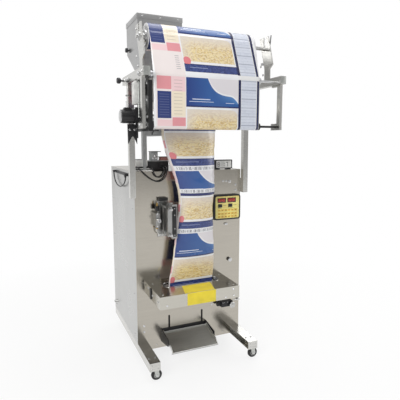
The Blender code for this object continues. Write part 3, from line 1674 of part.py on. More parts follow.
def regulator_knob():
    x = REGULATOR_LEFT - GAP
    r, length = REGULATOR_KNOB_RADIUS, REGULATOR_KNOB_LENGTH
    z, y = REGULATOR_BOTTOM + REGULATOR_HEIGHT / 2, -REGULATOR_DEPTH / 2
    profile = [
        (0, 0.009),
        (0.004, 0.009),
        (0.004, 0),
        (r, 0),
        (r, -length * 0.8),
        (r * 0.8, -length),
        (0, -length),
    ]
    turned("regulator_knob", black_plastic(), profile, (x, y, z), X, steps=24)


def temperature_meter():
    low = CABINET_TOP + GAP
    left, right = METER_LEFT, METER_LEFT + METER_WIDTH
    front, back = 0.008, 0.008 + METER_DEPTH
    shapes = [block((left, front, low + METER_FOOT), (right, back, low + METER_FOOT + METER_HEIGHT))]
    for x in (left + 0.008, right - 0.018):
        shapes.append(block((x, front + 0.006, low), (x + 0.010, back - 0.006, low + METER_FOOT + 0.001)))
    solid("temperature_meter", black_plastic(), shapes)


def gland(point, direction):
    """A cable gland whose mouth is a gap short of the cable's end."""
    mouth = Vector(point) + 2 * direction * GAP
    return rod(mouth, mouth + direction * GLAND_LENGTH, GLAND_RADIUS, 16)


def junction_box():
    low = CABINET_TOP + GAP
    shapes = [
        block(
            (JUNCTION_LEFT, JUNCTION_FRONT, low),
            (JUNCTION_LEFT + JUNCTION_WIDTH, JUNCTION_FRONT + JUNCTION_DEPTH, low + JUNCTION_HEIGHT),
        )
    ]
    for route in (LOOP_CABLE, SMALL_LOOP_CABLE):
        for point in (route[0], route[-1]):
            shapes.append(gland(point, Y))
    solid("junction_box", black_metal(), shapes)


def side_cable_clip():
    """The bracket on the left side that holds both ends of the side cable."""
    start, end = Vector(SIDE_CABLE[0]), Vector(SIDE_CABLE[-1])
    shapes = [
        block(
            (-0.004, end.y - 0.012, end.z + GLAND_LENGTH * 0.6),
            (-GAP, start.y + 0.012, start.z + GLAND_LENGTH * 1.2),
        ),
        block(
            (-0.021, start.y - 0.010, start.z + GLAND_LENGTH * 0.6),
            (-GAP, start.y + 0.010, start.z + GLAND_LENGTH * 1.2),
        ),
        block(
            (-0.021, end.y - 0.010, end.z + GLAND_LENGTH * 0.6),
            (-GAP, end.y + 0.010, start.z + GLAND_LENGTH * 1.2),
        ),
        gland(start, Z),
        gland(end, Z),
    ]
    solid("cable_bracket", black_plastic(), shapes)


def electrical_plate():
    """The mounting plate inside the cabinet with its control unit, power supply and valve block."""
    left, right = FRAME_LOW + FRAME_TUBE + GAP, CABINET_WIDTH - FRAME_LOW - FRAME_TUBE - GAP
    back = CABINET_DEPTH - FRAME_LOW - FRAME_TUBE - GAP
    front = back - PLATE_THICKNESS
    low, high = PLATE_BOTTOM, PLATE_BOTTOM + PLATE_HEIGHT
    shapes = [
        block((left, front, low), (right, back, high)),
        block((left + 0.060, front - 0.060, low + 0.260), (left + 0.260, front + 0.001, low + 0.400)),
        block((left + 0.340, front - 0.090, low + 0.250), (left + 0.520, front + 0.001, low + 0.400)),
        block((left + 0.060, front - 0.050, low + 0.060), (left + 0.300, front + 0.001, low + 0.130)),
        block((left + 0.340, front - 0.070, low + 0.050), (left + 0.500, front + 0.001, low + 0.150)),
    ]
    solid("electrical_plate", aluminium(), shapes)


# Chute


def chute_frame():
    left, right = CHUTE_LEFT, CHUTE_LEFT + CHUTE_WIDTH
    low = CHUTE_TOP - CHUTE_HEIGHT
    t = CHUTE_PLATE
    side = [
        (-GAP - t, CHUTE_TOP),
        (-CHUTE_REACH, CHUTE_TOP - 0.018),
        (-CHUTE_REACH, low + 0.026),
        (-CHUTE_REACH + 0.006, low + 0.022),
        (-GAP - t / 2, low),
        (-GAP - t / 2, CHUTE_TOP),
    ]
    shapes = [
        block((left, -GAP - t, low), (right, -GAP, CHUTE_TOP)),
        flat_outline(side, "X", left, left + t),
        flat_outline(side, "X", right - t, right),
    ]
    for x in chute_slot_places():
        shapes.append(
            rod((x, -GAP - t / 2, CHUTE_STUD_Z), (x, SHEET + 0.006, CHUTE_STUD_Z), CHUTE_STUD_RADIUS, 16)
        )
        shapes.append(rod(
            (x, SHEET + GAP, CHUTE_STUD_Z),
            (x, SHEET + 0.006, CHUTE_STUD_Z),
            CHUTE_SLOT_WIDTH * 0.8,
            16,
        ))
    cuts = [
        rod(
            (left - t, TRAY_HINGE_Y, TRAY_HINGE_Z),
            (right + t, TRAY_HINGE_Y, TRAY_HINGE_Z),
            TRAY_PIN_RADIUS + RUNNING,
            16,
        )
    ]
    solid("chute_frame", black_metal(), shapes, cuts, origin=(CHUTE_LEFT, 0, CHUTE_STUD_Z))


def chute_tray():
    """A sloping tray with low sides, hung on a pin at its upper end."""
    left = CHUTE_LEFT + CHUTE_PLATE + TRAY_SIDE_CLEARANCE
    right = CHUTE_LEFT + CHUTE_WIDTH - CHUTE_PLATE - TRAY_SIDE_CLEARANCE
    down = Vector((-math.cos(TRAY_SLOPE), -math.sin(TRAY_SLOPE)))
    up = Vector((-math.sin(TRAY_SLOPE), math.cos(TRAY_SLOPE)))
    hinge = Vector((TRAY_HINGE_Y, TRAY_HINGE_Z))
    pin_room = TRAY_PIN_RADIUS + 0.003

    def corner(along, height):
        return hinge + down * along + up * height

    floor_low, floor_high = -pin_room, -pin_room + TRAY_WALL
    floor = [
        corner(-pin_room, floor_low),
        corner(TRAY_LENGTH, floor_low),
        corner(TRAY_LENGTH, floor_low - 0.010),
        corner(TRAY_LENGTH + TRAY_WALL, floor_low - 0.010),
        corner(TRAY_LENGTH + TRAY_WALL, floor_high),
        corner(-pin_room, floor_high),
    ]
    side = [
        corner(-pin_room, floor_low),
        corner(TRAY_LENGTH, floor_low),
        corner(TRAY_LENGTH - 0.004, floor_high + 0.004),
        corner(TRAY_LENGTH - 0.030, floor_high + TRAY_SIDE_HEIGHT),
        corner(-pin_room, floor_high + TRAY_SIDE_HEIGHT),
    ]
    shapes = [
        flat_outline(floor, "X", left, right),
        flat_outline(side, "X", left, left + TRAY_WALL),
        flat_outline(side, "X", right - TRAY_WALL, right),
        rod(
            (CHUTE_LEFT + GAP, *hinge),
            (CHUTE_LEFT + CHUTE_WIDTH - GAP, *hinge),
            TRAY_PIN_RADIUS,
            16,
        ),
    ]
    solid("chute_tray", steel(), shapes, origin=(CHUTE_LEFT + CHUTE_WIDTH / 2, TRAY_HINGE_Y, TRAY_HINGE_Z))


# Assembly


def cables():
    tube_along("loop_cable", black_rubber(), LOOP_CABLE, CABLE_RADIUS, 2)
    tube_along("small_loop_cable", black_rubber(), SMALL_LOOP_CABLE, CABLE_RADIUS, 2)
    tube_along("side_cable", black_rubber(), SIDE_CABLE, CABLE_RADIUS, 3)
    tube_along("seal_hose", black_rubber(), SEAL_HOSE, HOSE_RADIUS, 3)


def move_origin_to_underside():
    """Moves every object so that the origin is at the centre of the bounding box's underside."""
    bpy.context.view_layer.update()
    graph = bpy.context.evaluated_depsgraph_get()
    low, high = Vector((math.inf,) * 3), Vector((-math.inf,) * 3)
    for part in PARTS.objects:
        if part.name in CABLE_NAMES:
            continue
        shown = part.evaluated_get(graph)
        for corner in shown.bound_box:
            place = shown.matrix_world @ Vector(corner)
            low = Vector(map(min, low, place))
            high = Vector(map(max, high, place))
    shift = Vector((-(low.x + high.x) / 2, -(low.y + high.y) / 2, -low.z))
    for part in [*PARTS.objects, *HELPERS.objects]:
        part.location += shift
    return shift


def build_machine():
    base_rail(LEFT, "left_base_rail")
    base_rail(RIGHT, "right_base_rail")
    main_frame()
    front_panel()
    side_panel(LEFT, "left_side_panel")
    side_panel(RIGHT, "right_side_panel")
    rear_door()
    door_latch()
    casters()
    upright(LEFT, "left_upright")
    upright(RIGHT, "right_upright")
    hanger_bar(LEFT, "left_hanger_bar")
    hanger_bar(RIGHT, "right_hanger_bar")
    rollers()
    roll_and_shaft()
    film_web()
    film_tube()
    forming_tube()
    former_collar()
    hopper()
    hopper_gate()
    hopper_stand()
    feeder_trough()
    feeder_drive()
    seal_box()
    front_jaw()
    rear_jaw()
    jaw_cylinder()
    seal_bracket()
    seal_bar("front_seal_bar", -1)
    seal_bar("rear_seal_bar", 1)
    belt_guard()
    feed_motor()
    drive_pulley()
    timing_belt()
    arm_clamp_knob()
    control_panel()
    power_switch()
    air_regulator()
    regulator_knob()
    temperature_meter()
    junction_box()
    side_cable_clip()
    electrical_plate()
    chute_frame()
    chute_tray()
    cables()


clear_scene()
PARTS = make_collection("vertical_form_fill_sealer", False)
HELPERS = make_collection("helpers", True)
CABLE_NAMES = ("loop_cable", "small_loop_cable", "side_cable", "seal_hose")
build_machine()
move_origin_to_underside()
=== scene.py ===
"""Looks of the vertical form fill sealer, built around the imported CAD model.

Every piece rides on one of the model's bodies. Lengths are in metres. The layout frame has x = 0 at
the outer face of the cabinet's left side, y = 0 at its front face and z = 0 at the floor. at() takes
a point from there to the model's own frame.
"""

import json
import math

import bmesh
import bpy
from mathutils import Matrix, Vector, noise
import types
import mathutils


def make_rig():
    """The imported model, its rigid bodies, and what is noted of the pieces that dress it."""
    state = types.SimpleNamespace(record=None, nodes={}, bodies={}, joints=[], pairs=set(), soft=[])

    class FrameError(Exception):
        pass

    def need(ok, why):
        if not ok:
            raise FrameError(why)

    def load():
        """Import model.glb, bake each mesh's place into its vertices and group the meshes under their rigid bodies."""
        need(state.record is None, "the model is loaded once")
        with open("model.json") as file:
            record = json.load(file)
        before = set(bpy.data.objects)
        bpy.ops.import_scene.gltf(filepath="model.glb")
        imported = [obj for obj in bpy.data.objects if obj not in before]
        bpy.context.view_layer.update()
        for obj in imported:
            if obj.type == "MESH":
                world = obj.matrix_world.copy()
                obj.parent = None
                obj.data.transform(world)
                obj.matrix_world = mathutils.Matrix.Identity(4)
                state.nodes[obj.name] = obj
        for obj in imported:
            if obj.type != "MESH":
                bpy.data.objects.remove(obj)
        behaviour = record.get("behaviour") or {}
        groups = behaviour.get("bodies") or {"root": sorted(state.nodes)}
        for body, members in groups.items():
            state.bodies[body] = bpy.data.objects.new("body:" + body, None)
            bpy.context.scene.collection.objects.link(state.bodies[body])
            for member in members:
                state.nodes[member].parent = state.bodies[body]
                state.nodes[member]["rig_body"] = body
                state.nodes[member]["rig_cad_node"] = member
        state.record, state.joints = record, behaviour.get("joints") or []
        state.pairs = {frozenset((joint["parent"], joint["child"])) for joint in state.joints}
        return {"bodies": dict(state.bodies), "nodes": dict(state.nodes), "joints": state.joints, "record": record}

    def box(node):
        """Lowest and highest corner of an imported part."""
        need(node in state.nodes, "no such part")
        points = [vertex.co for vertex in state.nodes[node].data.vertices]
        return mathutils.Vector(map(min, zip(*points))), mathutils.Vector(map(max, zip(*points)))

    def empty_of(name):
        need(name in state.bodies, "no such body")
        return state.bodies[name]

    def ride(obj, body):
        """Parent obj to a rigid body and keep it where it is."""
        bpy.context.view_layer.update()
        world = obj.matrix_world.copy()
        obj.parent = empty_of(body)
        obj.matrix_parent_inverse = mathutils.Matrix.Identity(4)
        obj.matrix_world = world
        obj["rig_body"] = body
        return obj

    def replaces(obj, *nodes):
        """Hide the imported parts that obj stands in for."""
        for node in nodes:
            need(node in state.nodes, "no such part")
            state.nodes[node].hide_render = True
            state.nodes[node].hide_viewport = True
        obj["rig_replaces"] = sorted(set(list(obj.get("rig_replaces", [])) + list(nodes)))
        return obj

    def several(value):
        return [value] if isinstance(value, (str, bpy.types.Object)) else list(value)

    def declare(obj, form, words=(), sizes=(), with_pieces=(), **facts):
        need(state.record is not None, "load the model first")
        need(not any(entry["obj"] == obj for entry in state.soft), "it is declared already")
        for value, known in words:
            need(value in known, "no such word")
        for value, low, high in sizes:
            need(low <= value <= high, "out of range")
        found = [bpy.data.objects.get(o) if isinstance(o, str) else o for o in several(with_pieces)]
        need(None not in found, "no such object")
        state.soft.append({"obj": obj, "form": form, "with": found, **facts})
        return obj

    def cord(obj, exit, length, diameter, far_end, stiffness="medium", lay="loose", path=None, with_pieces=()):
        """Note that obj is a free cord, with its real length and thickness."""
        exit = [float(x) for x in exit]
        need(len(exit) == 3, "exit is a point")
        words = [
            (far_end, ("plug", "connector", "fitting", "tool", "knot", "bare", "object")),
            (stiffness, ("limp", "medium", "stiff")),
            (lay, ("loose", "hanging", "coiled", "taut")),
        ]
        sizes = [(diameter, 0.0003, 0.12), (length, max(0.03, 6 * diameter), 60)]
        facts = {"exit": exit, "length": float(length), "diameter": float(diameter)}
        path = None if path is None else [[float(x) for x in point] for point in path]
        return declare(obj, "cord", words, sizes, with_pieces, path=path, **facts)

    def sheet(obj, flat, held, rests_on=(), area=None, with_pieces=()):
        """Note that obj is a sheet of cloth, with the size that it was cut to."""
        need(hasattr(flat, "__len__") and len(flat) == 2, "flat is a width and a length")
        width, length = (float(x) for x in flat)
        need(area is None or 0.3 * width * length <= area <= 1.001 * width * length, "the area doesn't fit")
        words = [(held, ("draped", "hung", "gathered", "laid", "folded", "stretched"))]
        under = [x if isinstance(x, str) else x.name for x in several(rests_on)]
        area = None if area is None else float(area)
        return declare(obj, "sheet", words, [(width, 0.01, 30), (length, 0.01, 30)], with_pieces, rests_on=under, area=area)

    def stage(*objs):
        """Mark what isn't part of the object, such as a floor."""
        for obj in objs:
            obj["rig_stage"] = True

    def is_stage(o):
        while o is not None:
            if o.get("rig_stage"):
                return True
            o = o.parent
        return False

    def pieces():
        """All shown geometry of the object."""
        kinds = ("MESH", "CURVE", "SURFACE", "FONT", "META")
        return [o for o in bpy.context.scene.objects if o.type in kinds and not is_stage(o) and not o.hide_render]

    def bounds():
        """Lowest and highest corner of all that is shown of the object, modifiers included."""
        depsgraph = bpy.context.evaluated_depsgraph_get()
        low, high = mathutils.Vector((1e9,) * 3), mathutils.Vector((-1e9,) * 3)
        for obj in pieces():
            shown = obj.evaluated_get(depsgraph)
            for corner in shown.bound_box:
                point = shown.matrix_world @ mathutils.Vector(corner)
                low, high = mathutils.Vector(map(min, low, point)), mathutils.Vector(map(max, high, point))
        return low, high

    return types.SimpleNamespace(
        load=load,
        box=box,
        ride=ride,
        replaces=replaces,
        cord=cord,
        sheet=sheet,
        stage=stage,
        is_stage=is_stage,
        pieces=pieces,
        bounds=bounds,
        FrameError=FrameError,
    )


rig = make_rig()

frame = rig.load()
CAD_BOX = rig.bounds()
NODES = frame["nodes"]
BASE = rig.box("front_panel")[0]
SHIFT = Vector((BASE.x, BASE.y, 0))
ROLL_Y, ROLL_Z = -0.235, 1.881
X, Y, Z = Vector((1, 0, 0)), Vector((0, 1, 0)), Vector((0, 0, 1))
CASTERS = ("front_left", "front_right", "rear_left", "rear_right")
WHEEL_HALF_WIDTH = 0.011
CHUTE_SLOTS = (0.204, 0.428)


def at(x, y, z):
    return Vector((x, y, z)) + SHIFT


# Camera


def make_camera():
    camera = bpy.data.objects.new("camera", bpy.data.cameras.new("camera"))
    camera.data.lens = 36.93
    camera.data.sensor_width = 36
    camera.location = at(-0.6002, -2.3259, 1.3608)
    camera.rotation_mode = "QUATERNION"
    camera.rotation_quaternion = Vector((0.3963, 0.9071, -0.142)).to_track_quat("-Z", "Y")
    camera.data.clip_start = 0.05
    bpy.context.scene.collection.objects.link(camera)
    bpy.context.scene.camera = camera


# Shader building


def linear(colour):
    """A colour given as 0 to 255, as linear light."""
    parts = [c / 255 for c in colour]
    return tuple(c / 12.92 if c <= 0.04045 else ((c + 0.055) / 1.055) ** 2.4 for c in parts) + (1,)


class Shader:
    """A Principled material and short names for the nodes that feed it."""

    def __init__(self, name, metallic=0.0, roughness=0.5, coat=0.0):
        self.material = bpy.data.materials.new(name)
        self.material.use_nodes = True
        self.tree = self.material.node_tree
        self.shader = self.tree.nodes["Principled BSDF"]
        self.shader.inputs["Metallic"].default_value = metallic
        self.shader.inputs["Roughness"].default_value = roughness
        self.shader.inputs["Coat Weight"].default_value = coat
        self.place = None

    def node(self, kind, **inputs):
        made = self.tree.nodes.new(kind)
        for name, value in inputs.items():
            self.feed(made.inputs[name], value)
        return made

    def feed(self, socket, value):
        if isinstance(value, bpy.types.NodeSocket):
            self.tree.links.new(value, socket)
        else:
            socket.default_value = value

    def math(self, operation, a, b=0.5, c=0.5, clamp=False):
        made = self.tree.nodes.new("ShaderNodeMath")
        made.operation = operation
        made.use_clamp = clamp
        for socket, value in zip(made.inputs, (a, b, c)):
            self.feed(socket, value)
        return made.outputs[0]

    def coordinates(self, scale=(1, 1, 1), uv=False):
        if self.place is None:
            self.place = self.tree.nodes.new("ShaderNodeTexCoord")
        made = self.tree.nodes.new("ShaderNodeMapping")
        self.tree.links.new(self.place.outputs["UV" if uv else "Object"], made.inputs["Vector"])
        made.inputs["Scale"].default_value = scale
        return made.outputs[0]

    def noise(self, scale, stretch=(1, 1, 1), detail=3, rough=0.5, distortion=0):
        made = self.node("ShaderNodeTexNoise", Vector=self.coordinates(stretch))
        made.inputs["Scale"].default_value = scale
        made.inputs["Detail"].default_value = detail
        made.inputs["Roughness"].default_value = rough
        made.inputs["Distortion"].default_value = distortion
        return made.outputs["Fac"]

    def times(self, a, b):
        return self.math("MULTIPLY", a, b)

    def plus(self, a, b):
        return self.math("ADD", a, b)

    def minus(self, a, b):
        return self.math("SUBTRACT", a, b)

    def above(self, a, b):
        return self.math("GREATER_THAN", a, b)

    def below(self, a, b):
        return self.math("LESS_THAN", a, b)

    def spread(self, value, low, high, out_low=0.0, out_high=1.0):
        made = self.tree.nodes.new("ShaderNodeMapRange")
        made.clamp = True
        for name, number in (
            ("From Min", low), ("From Max", high), ("To Min", out_low), ("To Max", out_high),
        ):
            made.inputs[name].default_value = number
        self.feed(made.inputs["Value"], value)
        return made.outputs[0]

    def mix(self, share, a, b):
        made = self.tree.nodes.new("ShaderNodeMix")
        made.data_type = "RGBA"
        self.feed(made.inputs[0], share)
        self.feed(made.inputs[6], a)
        self.feed(made.inputs[7], b)
        return made.outputs[2]

    def colour(self, value):
        self.feed(self.shader.inputs["Base Color"], value)

    def roughness(self, value):
        self.feed(self.shader.inputs["Roughness"], value)

    def bump(self, height, strength, distance):
        made = self.tree.nodes.new("ShaderNodeBump")
        made.inputs["Strength"].default_value = strength
        made.inputs["Distance"].default_value = distance
        self.feed(made.inputs["Height"], height)
        self.tree.links.new(made.outputs[0], self.shader.inputs["Normal"])


def brushed(name, tone, rough, grain, variation=0.05, blur=0.12):
    """Sheet steel with a fine grain; grain is how fast it changes along x, y and z."""
    s = Shader(name, metallic=1.0)
    fine = s.noise(1.0, grain, detail=2, rough=0.6)
    soft = s.noise(2.2, (1, 1, 0.6), detail=3, rough=0.55)
    smudge = s.noise(9, detail=4, rough=0.7, distortion=0.6)
    dark = linear([c * (1 - variation) for c in tone])
    light = linear([min(255, c * (1 + variation)) for c in tone])
    both = s.plus(s.times(fine, 0.6), s.times(soft, 0.4))
    s.colour(s.mix(s.spread(both, 0.35, 0.65), dark, light))
    base = s.spread(soft, 0.3, 0.7, rough * 0.85, rough * 1.15)
    worn = s.times(s.spread(smudge, 0.45, 0.75), 0.04)
    s.roughness(s.plus(base, worn))
    s.bump(fine, blur, 0.0004)
    return s.material


def shade_painted_inside(name, node, wall, *sheet):
    """Brushed sheet with painted shade on the inside of a folded box: faces more than wall inside its hull turn
    near-black and lose their metal.
    """
    material = brushed(name, *sheet)
    low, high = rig.box(node)
    s = Shader.__new__(Shader)
    s.material, s.tree, s.place = material, material.node_tree, None
    s.shader = s.tree.nodes["Principled BSDF"]
    parts = s.node("ShaderNodeSeparateXYZ", Vector=s.coordinates())
    mask = s.below(parts.outputs[2], high.z - wall)
    for output, a, b in ((parts.outputs[0], low.x, high.x), (parts.outputs[1], low.y, high.y)):
        mask = s.times(mask, s.above(output, a + wall))
        if output == parts.outputs[0]:
            mask = s.times(mask, s.below(output, b - wall))
    colour = s.shader.inputs["Base Color"].links[0].from_socket
    # Painted shade: the box's inner faces get a near-black colour, as if in shadow.
    s.colour(s.mix(mask, colour, linear((26, 26, 28))))
    s.feed(s.shader.inputs["Metallic"], s.minus(1.0, mask))
    return material


def painted(name, tone, rough=0.4, metallic=0.0, grain=0.2, spread=0.11):
    """Paint or moulded plastic with a fine texture and a little wear."""
    s = Shader(name, metallic=metallic)
    fine = s.noise(900, detail=2)
    broad = s.noise(14, detail=4, rough=0.65)
    s.colour(s.mix(
        s.spread(broad, 0.35, 0.7), linear([c * (1 - spread) for c in tone]),
        linear([min(255, c * (1 + spread) + 3) for c in tone]),
    ))
    s.roughness(s.spread(broad, 0.3, 0.75, rough * 0.85, rough * 1.2))
    s.bump(fine, grain, 0.0003)
    return s.material


def turned_steel(name, tone, rough=0.22):
    s = Shader(name, metallic=1.0)
    rings = s.noise(1.0, (700, 60, 60), detail=2)
    broad = s.noise(20, detail=3)
    s.colour(s.mix(broad, linear([c * 0.9 for c in tone]), linear([min(255, c * 1.05) for c in tone])))
    s.roughness(s.spread(rings, 0.3, 0.7, rough * 0.8, rough * 1.3))
    s.bump(rings, 0.2, 0.0002)
    return s.material


# Film print. u runs across the web from its left edge and v along it, in metres, through the UV map.

REPEAT = 0.372
NAVY, BLUE, SKY = (33, 44, 98), (46, 92, 158), (92, 142, 196)
ROSE, PALE_ROSE, CREAM = (226, 152, 158), (240, 208, 210), (240, 228, 206)
PALE_GREY, WHITE = (212, 217, 229), (238, 238, 240)


def print_material(name, rough=0.24):
    s = Shader(name, roughness=rough, coat=0.25)
    s.shader.inputs["Coat Roughness"].default_value = 0.12
    parts = s.node("ShaderNodeSeparateXYZ", Vector=s.coordinates(uv=True))
    u = parts.outputs[0]
    w = s.math("FLOORED_MODULO", parts.outputs[1], REPEAT)

    def between(value, low, high):
        return s.times(s.above(value, low), s.below(value, high))

    def area(u0, u1, w0, w1):
        return s.times(between(u, u0, u1), between(w, w0, w1))

    def stripes(value, pitch, width):
        return s.below(s.math("FLOORED_MODULO", value, pitch), width)

    def part_of(mask, share):
        return s.times(mask, share)

    swirl = s.node("ShaderNodeTexNoise", Vector=s.coordinates((22, 30, 1), uv=True))
    swirl.inputs["Detail"].default_value = 3
    swirl.inputs["Distortion"].default_value = 1.2
    strand = s.node("ShaderNodeTexWave", Vector=s.coordinates((1, 1.5, 1), uv=True))
    strand.bands_direction = "Y"
    for socket, value in (("Scale", 9.0), ("Distortion", 16.0), ("Detail", 2.0), ("Detail Scale", 2.6)):
        strand.inputs[socket].default_value = value
    piece = s.node("ShaderNodeTexVoronoi", Vector=s.coordinates((30, 42, 1), uv=True))
    strands, swirls = strand.outputs["Fac"], swirl.outputs["Fac"]
    food = s.mix(s.spread(swirls, 0.38, 0.6), linear((226, 212, 188)), linear((228, 202, 138)))
    food = s.mix(part_of(s.spread(strands, 0.55, 0.95), 0.8), food, linear((240, 224, 176)))
    food = s.mix(part_of(s.spread(strands, 0.0, 0.22, 1.0, 0.0), 0.55), food, linear((184, 142, 70)))
    parts_in = s.node("ShaderNodeSeparateColor", Color=piece.outputs["Color"])
    near = s.spread(piece.outputs["Distance"], 0.16, 0.3, 1.0, 0.0)
    rare = s.times(near, s.above(parts_in.outputs[0], 0.62))
    food = s.mix(part_of(rare, 0.75), food, linear((206, 148, 72)))
    dark = s.times(near, s.below(parts_in.outputs[1], 0.22))
    food = s.mix(part_of(dark, 0.8), food, linear((112, 104, 52)))
    food = s.mix(s.spread(w, 0.165, 0.222, 0.85, 0.0), food, linear((226, 216, 206)))
    food = s.mix(s.spread(u, 0.176, 0.235, 0.7, 0.0), food, linear((224, 216, 206)))

    look = linear(WHITE)

    def lay(mask, tone, share=None):
        nonlocal look
        look = s.mix(mask if share is None else part_of(mask, share), look, linear(tone))

    lay(between(u, 0.012, 0.17), (238, 228, 226))
    lay(area(0.094, 0.167, -1, 0.072), PALE_ROSE)
    lay(area(0.094, 0.167, 0.072, 0.196), CREAM)
    marks = s.times(area(0.106, 0.15, 0.01, 0.19), stripes(w, 0.0165, 0.003))
    lay(marks, (120, 100, 95), 0.35)
    lay(area(0.017, 0.092, 0.001, 0.064), ROSE)
    lay(area(0.019, 0.091, 0.074, 0.205), (47, 62, 118))
    left_lines = s.times(area(0.03, 0.08, 0.084, 0.196), stripes(w, 0.0125, 0.0024))
    lay(left_lines, (140, 150, 190), 0.28)
    lay(area(0.097, 0.168, 0.2, 0.243), ROSE)
    lay(area(0.019, 0.097, 0.212, 0.243), PALE_ROSE)
    small = s.times(area(0.128, 0.15, 0.262, 0.335), stripes(w, 0.011, 0.0034))
    lay(small, (90, 90, 105), 0.5)

    deep = s.mix(s.spread(u, 0.172, 0.3), linear((38, 62, 128)), linear(BLUE))
    look = s.mix(area(0.171, 0.472, 0.0, 0.146), look, deep)
    fall = s.math("POWER", 2.718, s.times(s.minus(u, 0.294), -28.0))
    drop = s.math("POWER", s.math("MAXIMUM", s.minus(u, 0.42), 0.0), 2.0)
    curve = s.times(s.minus(1.0, fall), 0.084)
    curve = s.plus(curve, s.times(drop, 14.0))
    over = s.minus(w, curve)
    swoosh = area(0.29, 0.47, 0.0, 0.125)
    glow = s.spread(over, 0.006, 0.045, 0.85, 0.0)
    glow = s.times(glow, s.spread(u, 0.33, 0.44))
    lay(s.times(swoosh, glow), SKY)
    lay(s.times(swoosh, s.below(over, 0.0055)), WHITE)
    lay(s.times(swoosh, s.below(over, -0.003)), (226, 222, 226))
    for u0, u1, w0, w1 in (
        (0.205, 0.305, 0.104, 0.1085), (0.188, 0.325, 0.117, 0.1195), (0.395, 0.445, 0.12, 0.1225),
    ):
        lay(area(u0, u1, w0, w1), (214, 222, 238))
    lay(area(0.171, 0.472, 0.1385, 0.146), NAVY)

    look = s.mix(area(0.176, 0.464, 0.157, 0.288), look, food)
    corner = s.plus(
        s.math("POWER", s.math("MAXIMUM", s.minus(u, 0.436), 0.0), 2.0),
        s.math("POWER", s.math("MAXIMUM", s.minus(0.187, w), 0.0), 2.0),
    )
    corner = s.times(s.above(corner, 0.028**2), area(0.43, 0.472, 0.15, 0.19))
    lay(corner, (226, 222, 226))
    band = s.mix(s.spread(swirls, 0.35, 0.75), linear(NAVY), linear((72, 92, 156)))
    look = s.mix(area(0.173, 0.472, 0.303, 0.343), look, band)
    lay(area(0.173, 0.472, 0.301, 0.307), NAVY)
    lay(area(0.2, 0.3, 0.319, 0.3215), (170, 182, 215), 0.7)
    # A printed white band, brightened to stand as a painted highlight where the film bends over the top roller.
    lay(area(0.173, 0.47, 0.348, 0.368), (236, 237, 240))
    ring = s.math(
        "SQRT", s.plus(s.math("POWER", s.minus(u, 0.192), 2.0), s.math("POWER", s.minus(w, 0.286), 2.0)),
    )
    lay(s.times(s.below(ring, 0.021), area(0.173, 0.23, 0.26, 0.303)), (224, 128, 134))
    letters = s.node("ShaderNodeTexNoise", Vector=s.coordinates((95, 0.01, 1), uv=True)).outputs["Fac"]
    along = s.minus(parts.outputs[1], 3 * REPEAT)
    bars = s.times(area(0.185, 0.455, 0.3495, 0.3665), s.above(letters, 0.51))
    # The marks on this band are kept off the web and the roll, so the band stays a clean painted highlight at the top
    # roller; they show on the tube.
    bars = s.times(bars, s.above(along, -0.25))
    lay(bars, (52, 54, 70), 0.85)
    near_top = s.times(between(u, 0.171, 0.472), between(along, 0.106, 0.13))
    lay(near_top, (236, 237, 240))
    marked = s.times(
        s.times(between(u, 0.18, 0.455), between(along, 0.11, 0.127)), s.above(letters, 0.51),
    )
    lay(marked, (60, 62, 80), 0.8)
    lay(s.times(between(u, 0.171, 0.472), between(along, 0.13, 0.147)), NAVY)

    lay(between(u, 0.47, 0.4855), (22, 28, 74))
    lay(between(u, 0.488, 0.58), PALE_GREY)
    lines = s.times(between(u, 0.488, 0.58), stripes(w, 0.0155, 0.0022))
    lay(lines, (140, 150, 178), 0.35)
    heavy = s.times(between(u, 0.488, 0.58), stripes(w, 0.0465, 0.0042))
    lay(heavy, (120, 126, 148), 0.6)
    blots = s.times(between(u, 0.5, 0.568), s.spread(swirls, 0.56, 0.66))
    lay(blots, (168, 172, 190), 0.45)
    faint = s.times(between(u, 0.492, 0.579), stripes(w, 0.062, 0.0305))
    lay(faint, (232, 236, 246), 0.25)
    lay(between(u, 0.5835, 0.598), (22, 28, 74))
    # Painted highlight: the white band carried across the right-hand strips, where the film bends over the top roller;
    # it repeats with the print.
    lay(area(0.47, 0.6, 0.346, 0.37), (232, 232, 232))
    wash = s.noise(5, detail=3)
    lay(s.spread(wash, 0.35, 0.7, 0.0, 0.07), (120, 118, 120))
    s.colour(look)
    s.roughness(s.spread(wash, 0.3, 0.7, rough * 0.8, rough * 1.25))
    wrinkle = s.noise(1.0, (26, 14, 7), detail=5, rough=0.6, distortion=0.5)
    s.bump(wrinkle, 0.55, 0.004)
    return s.material


# Mesh building


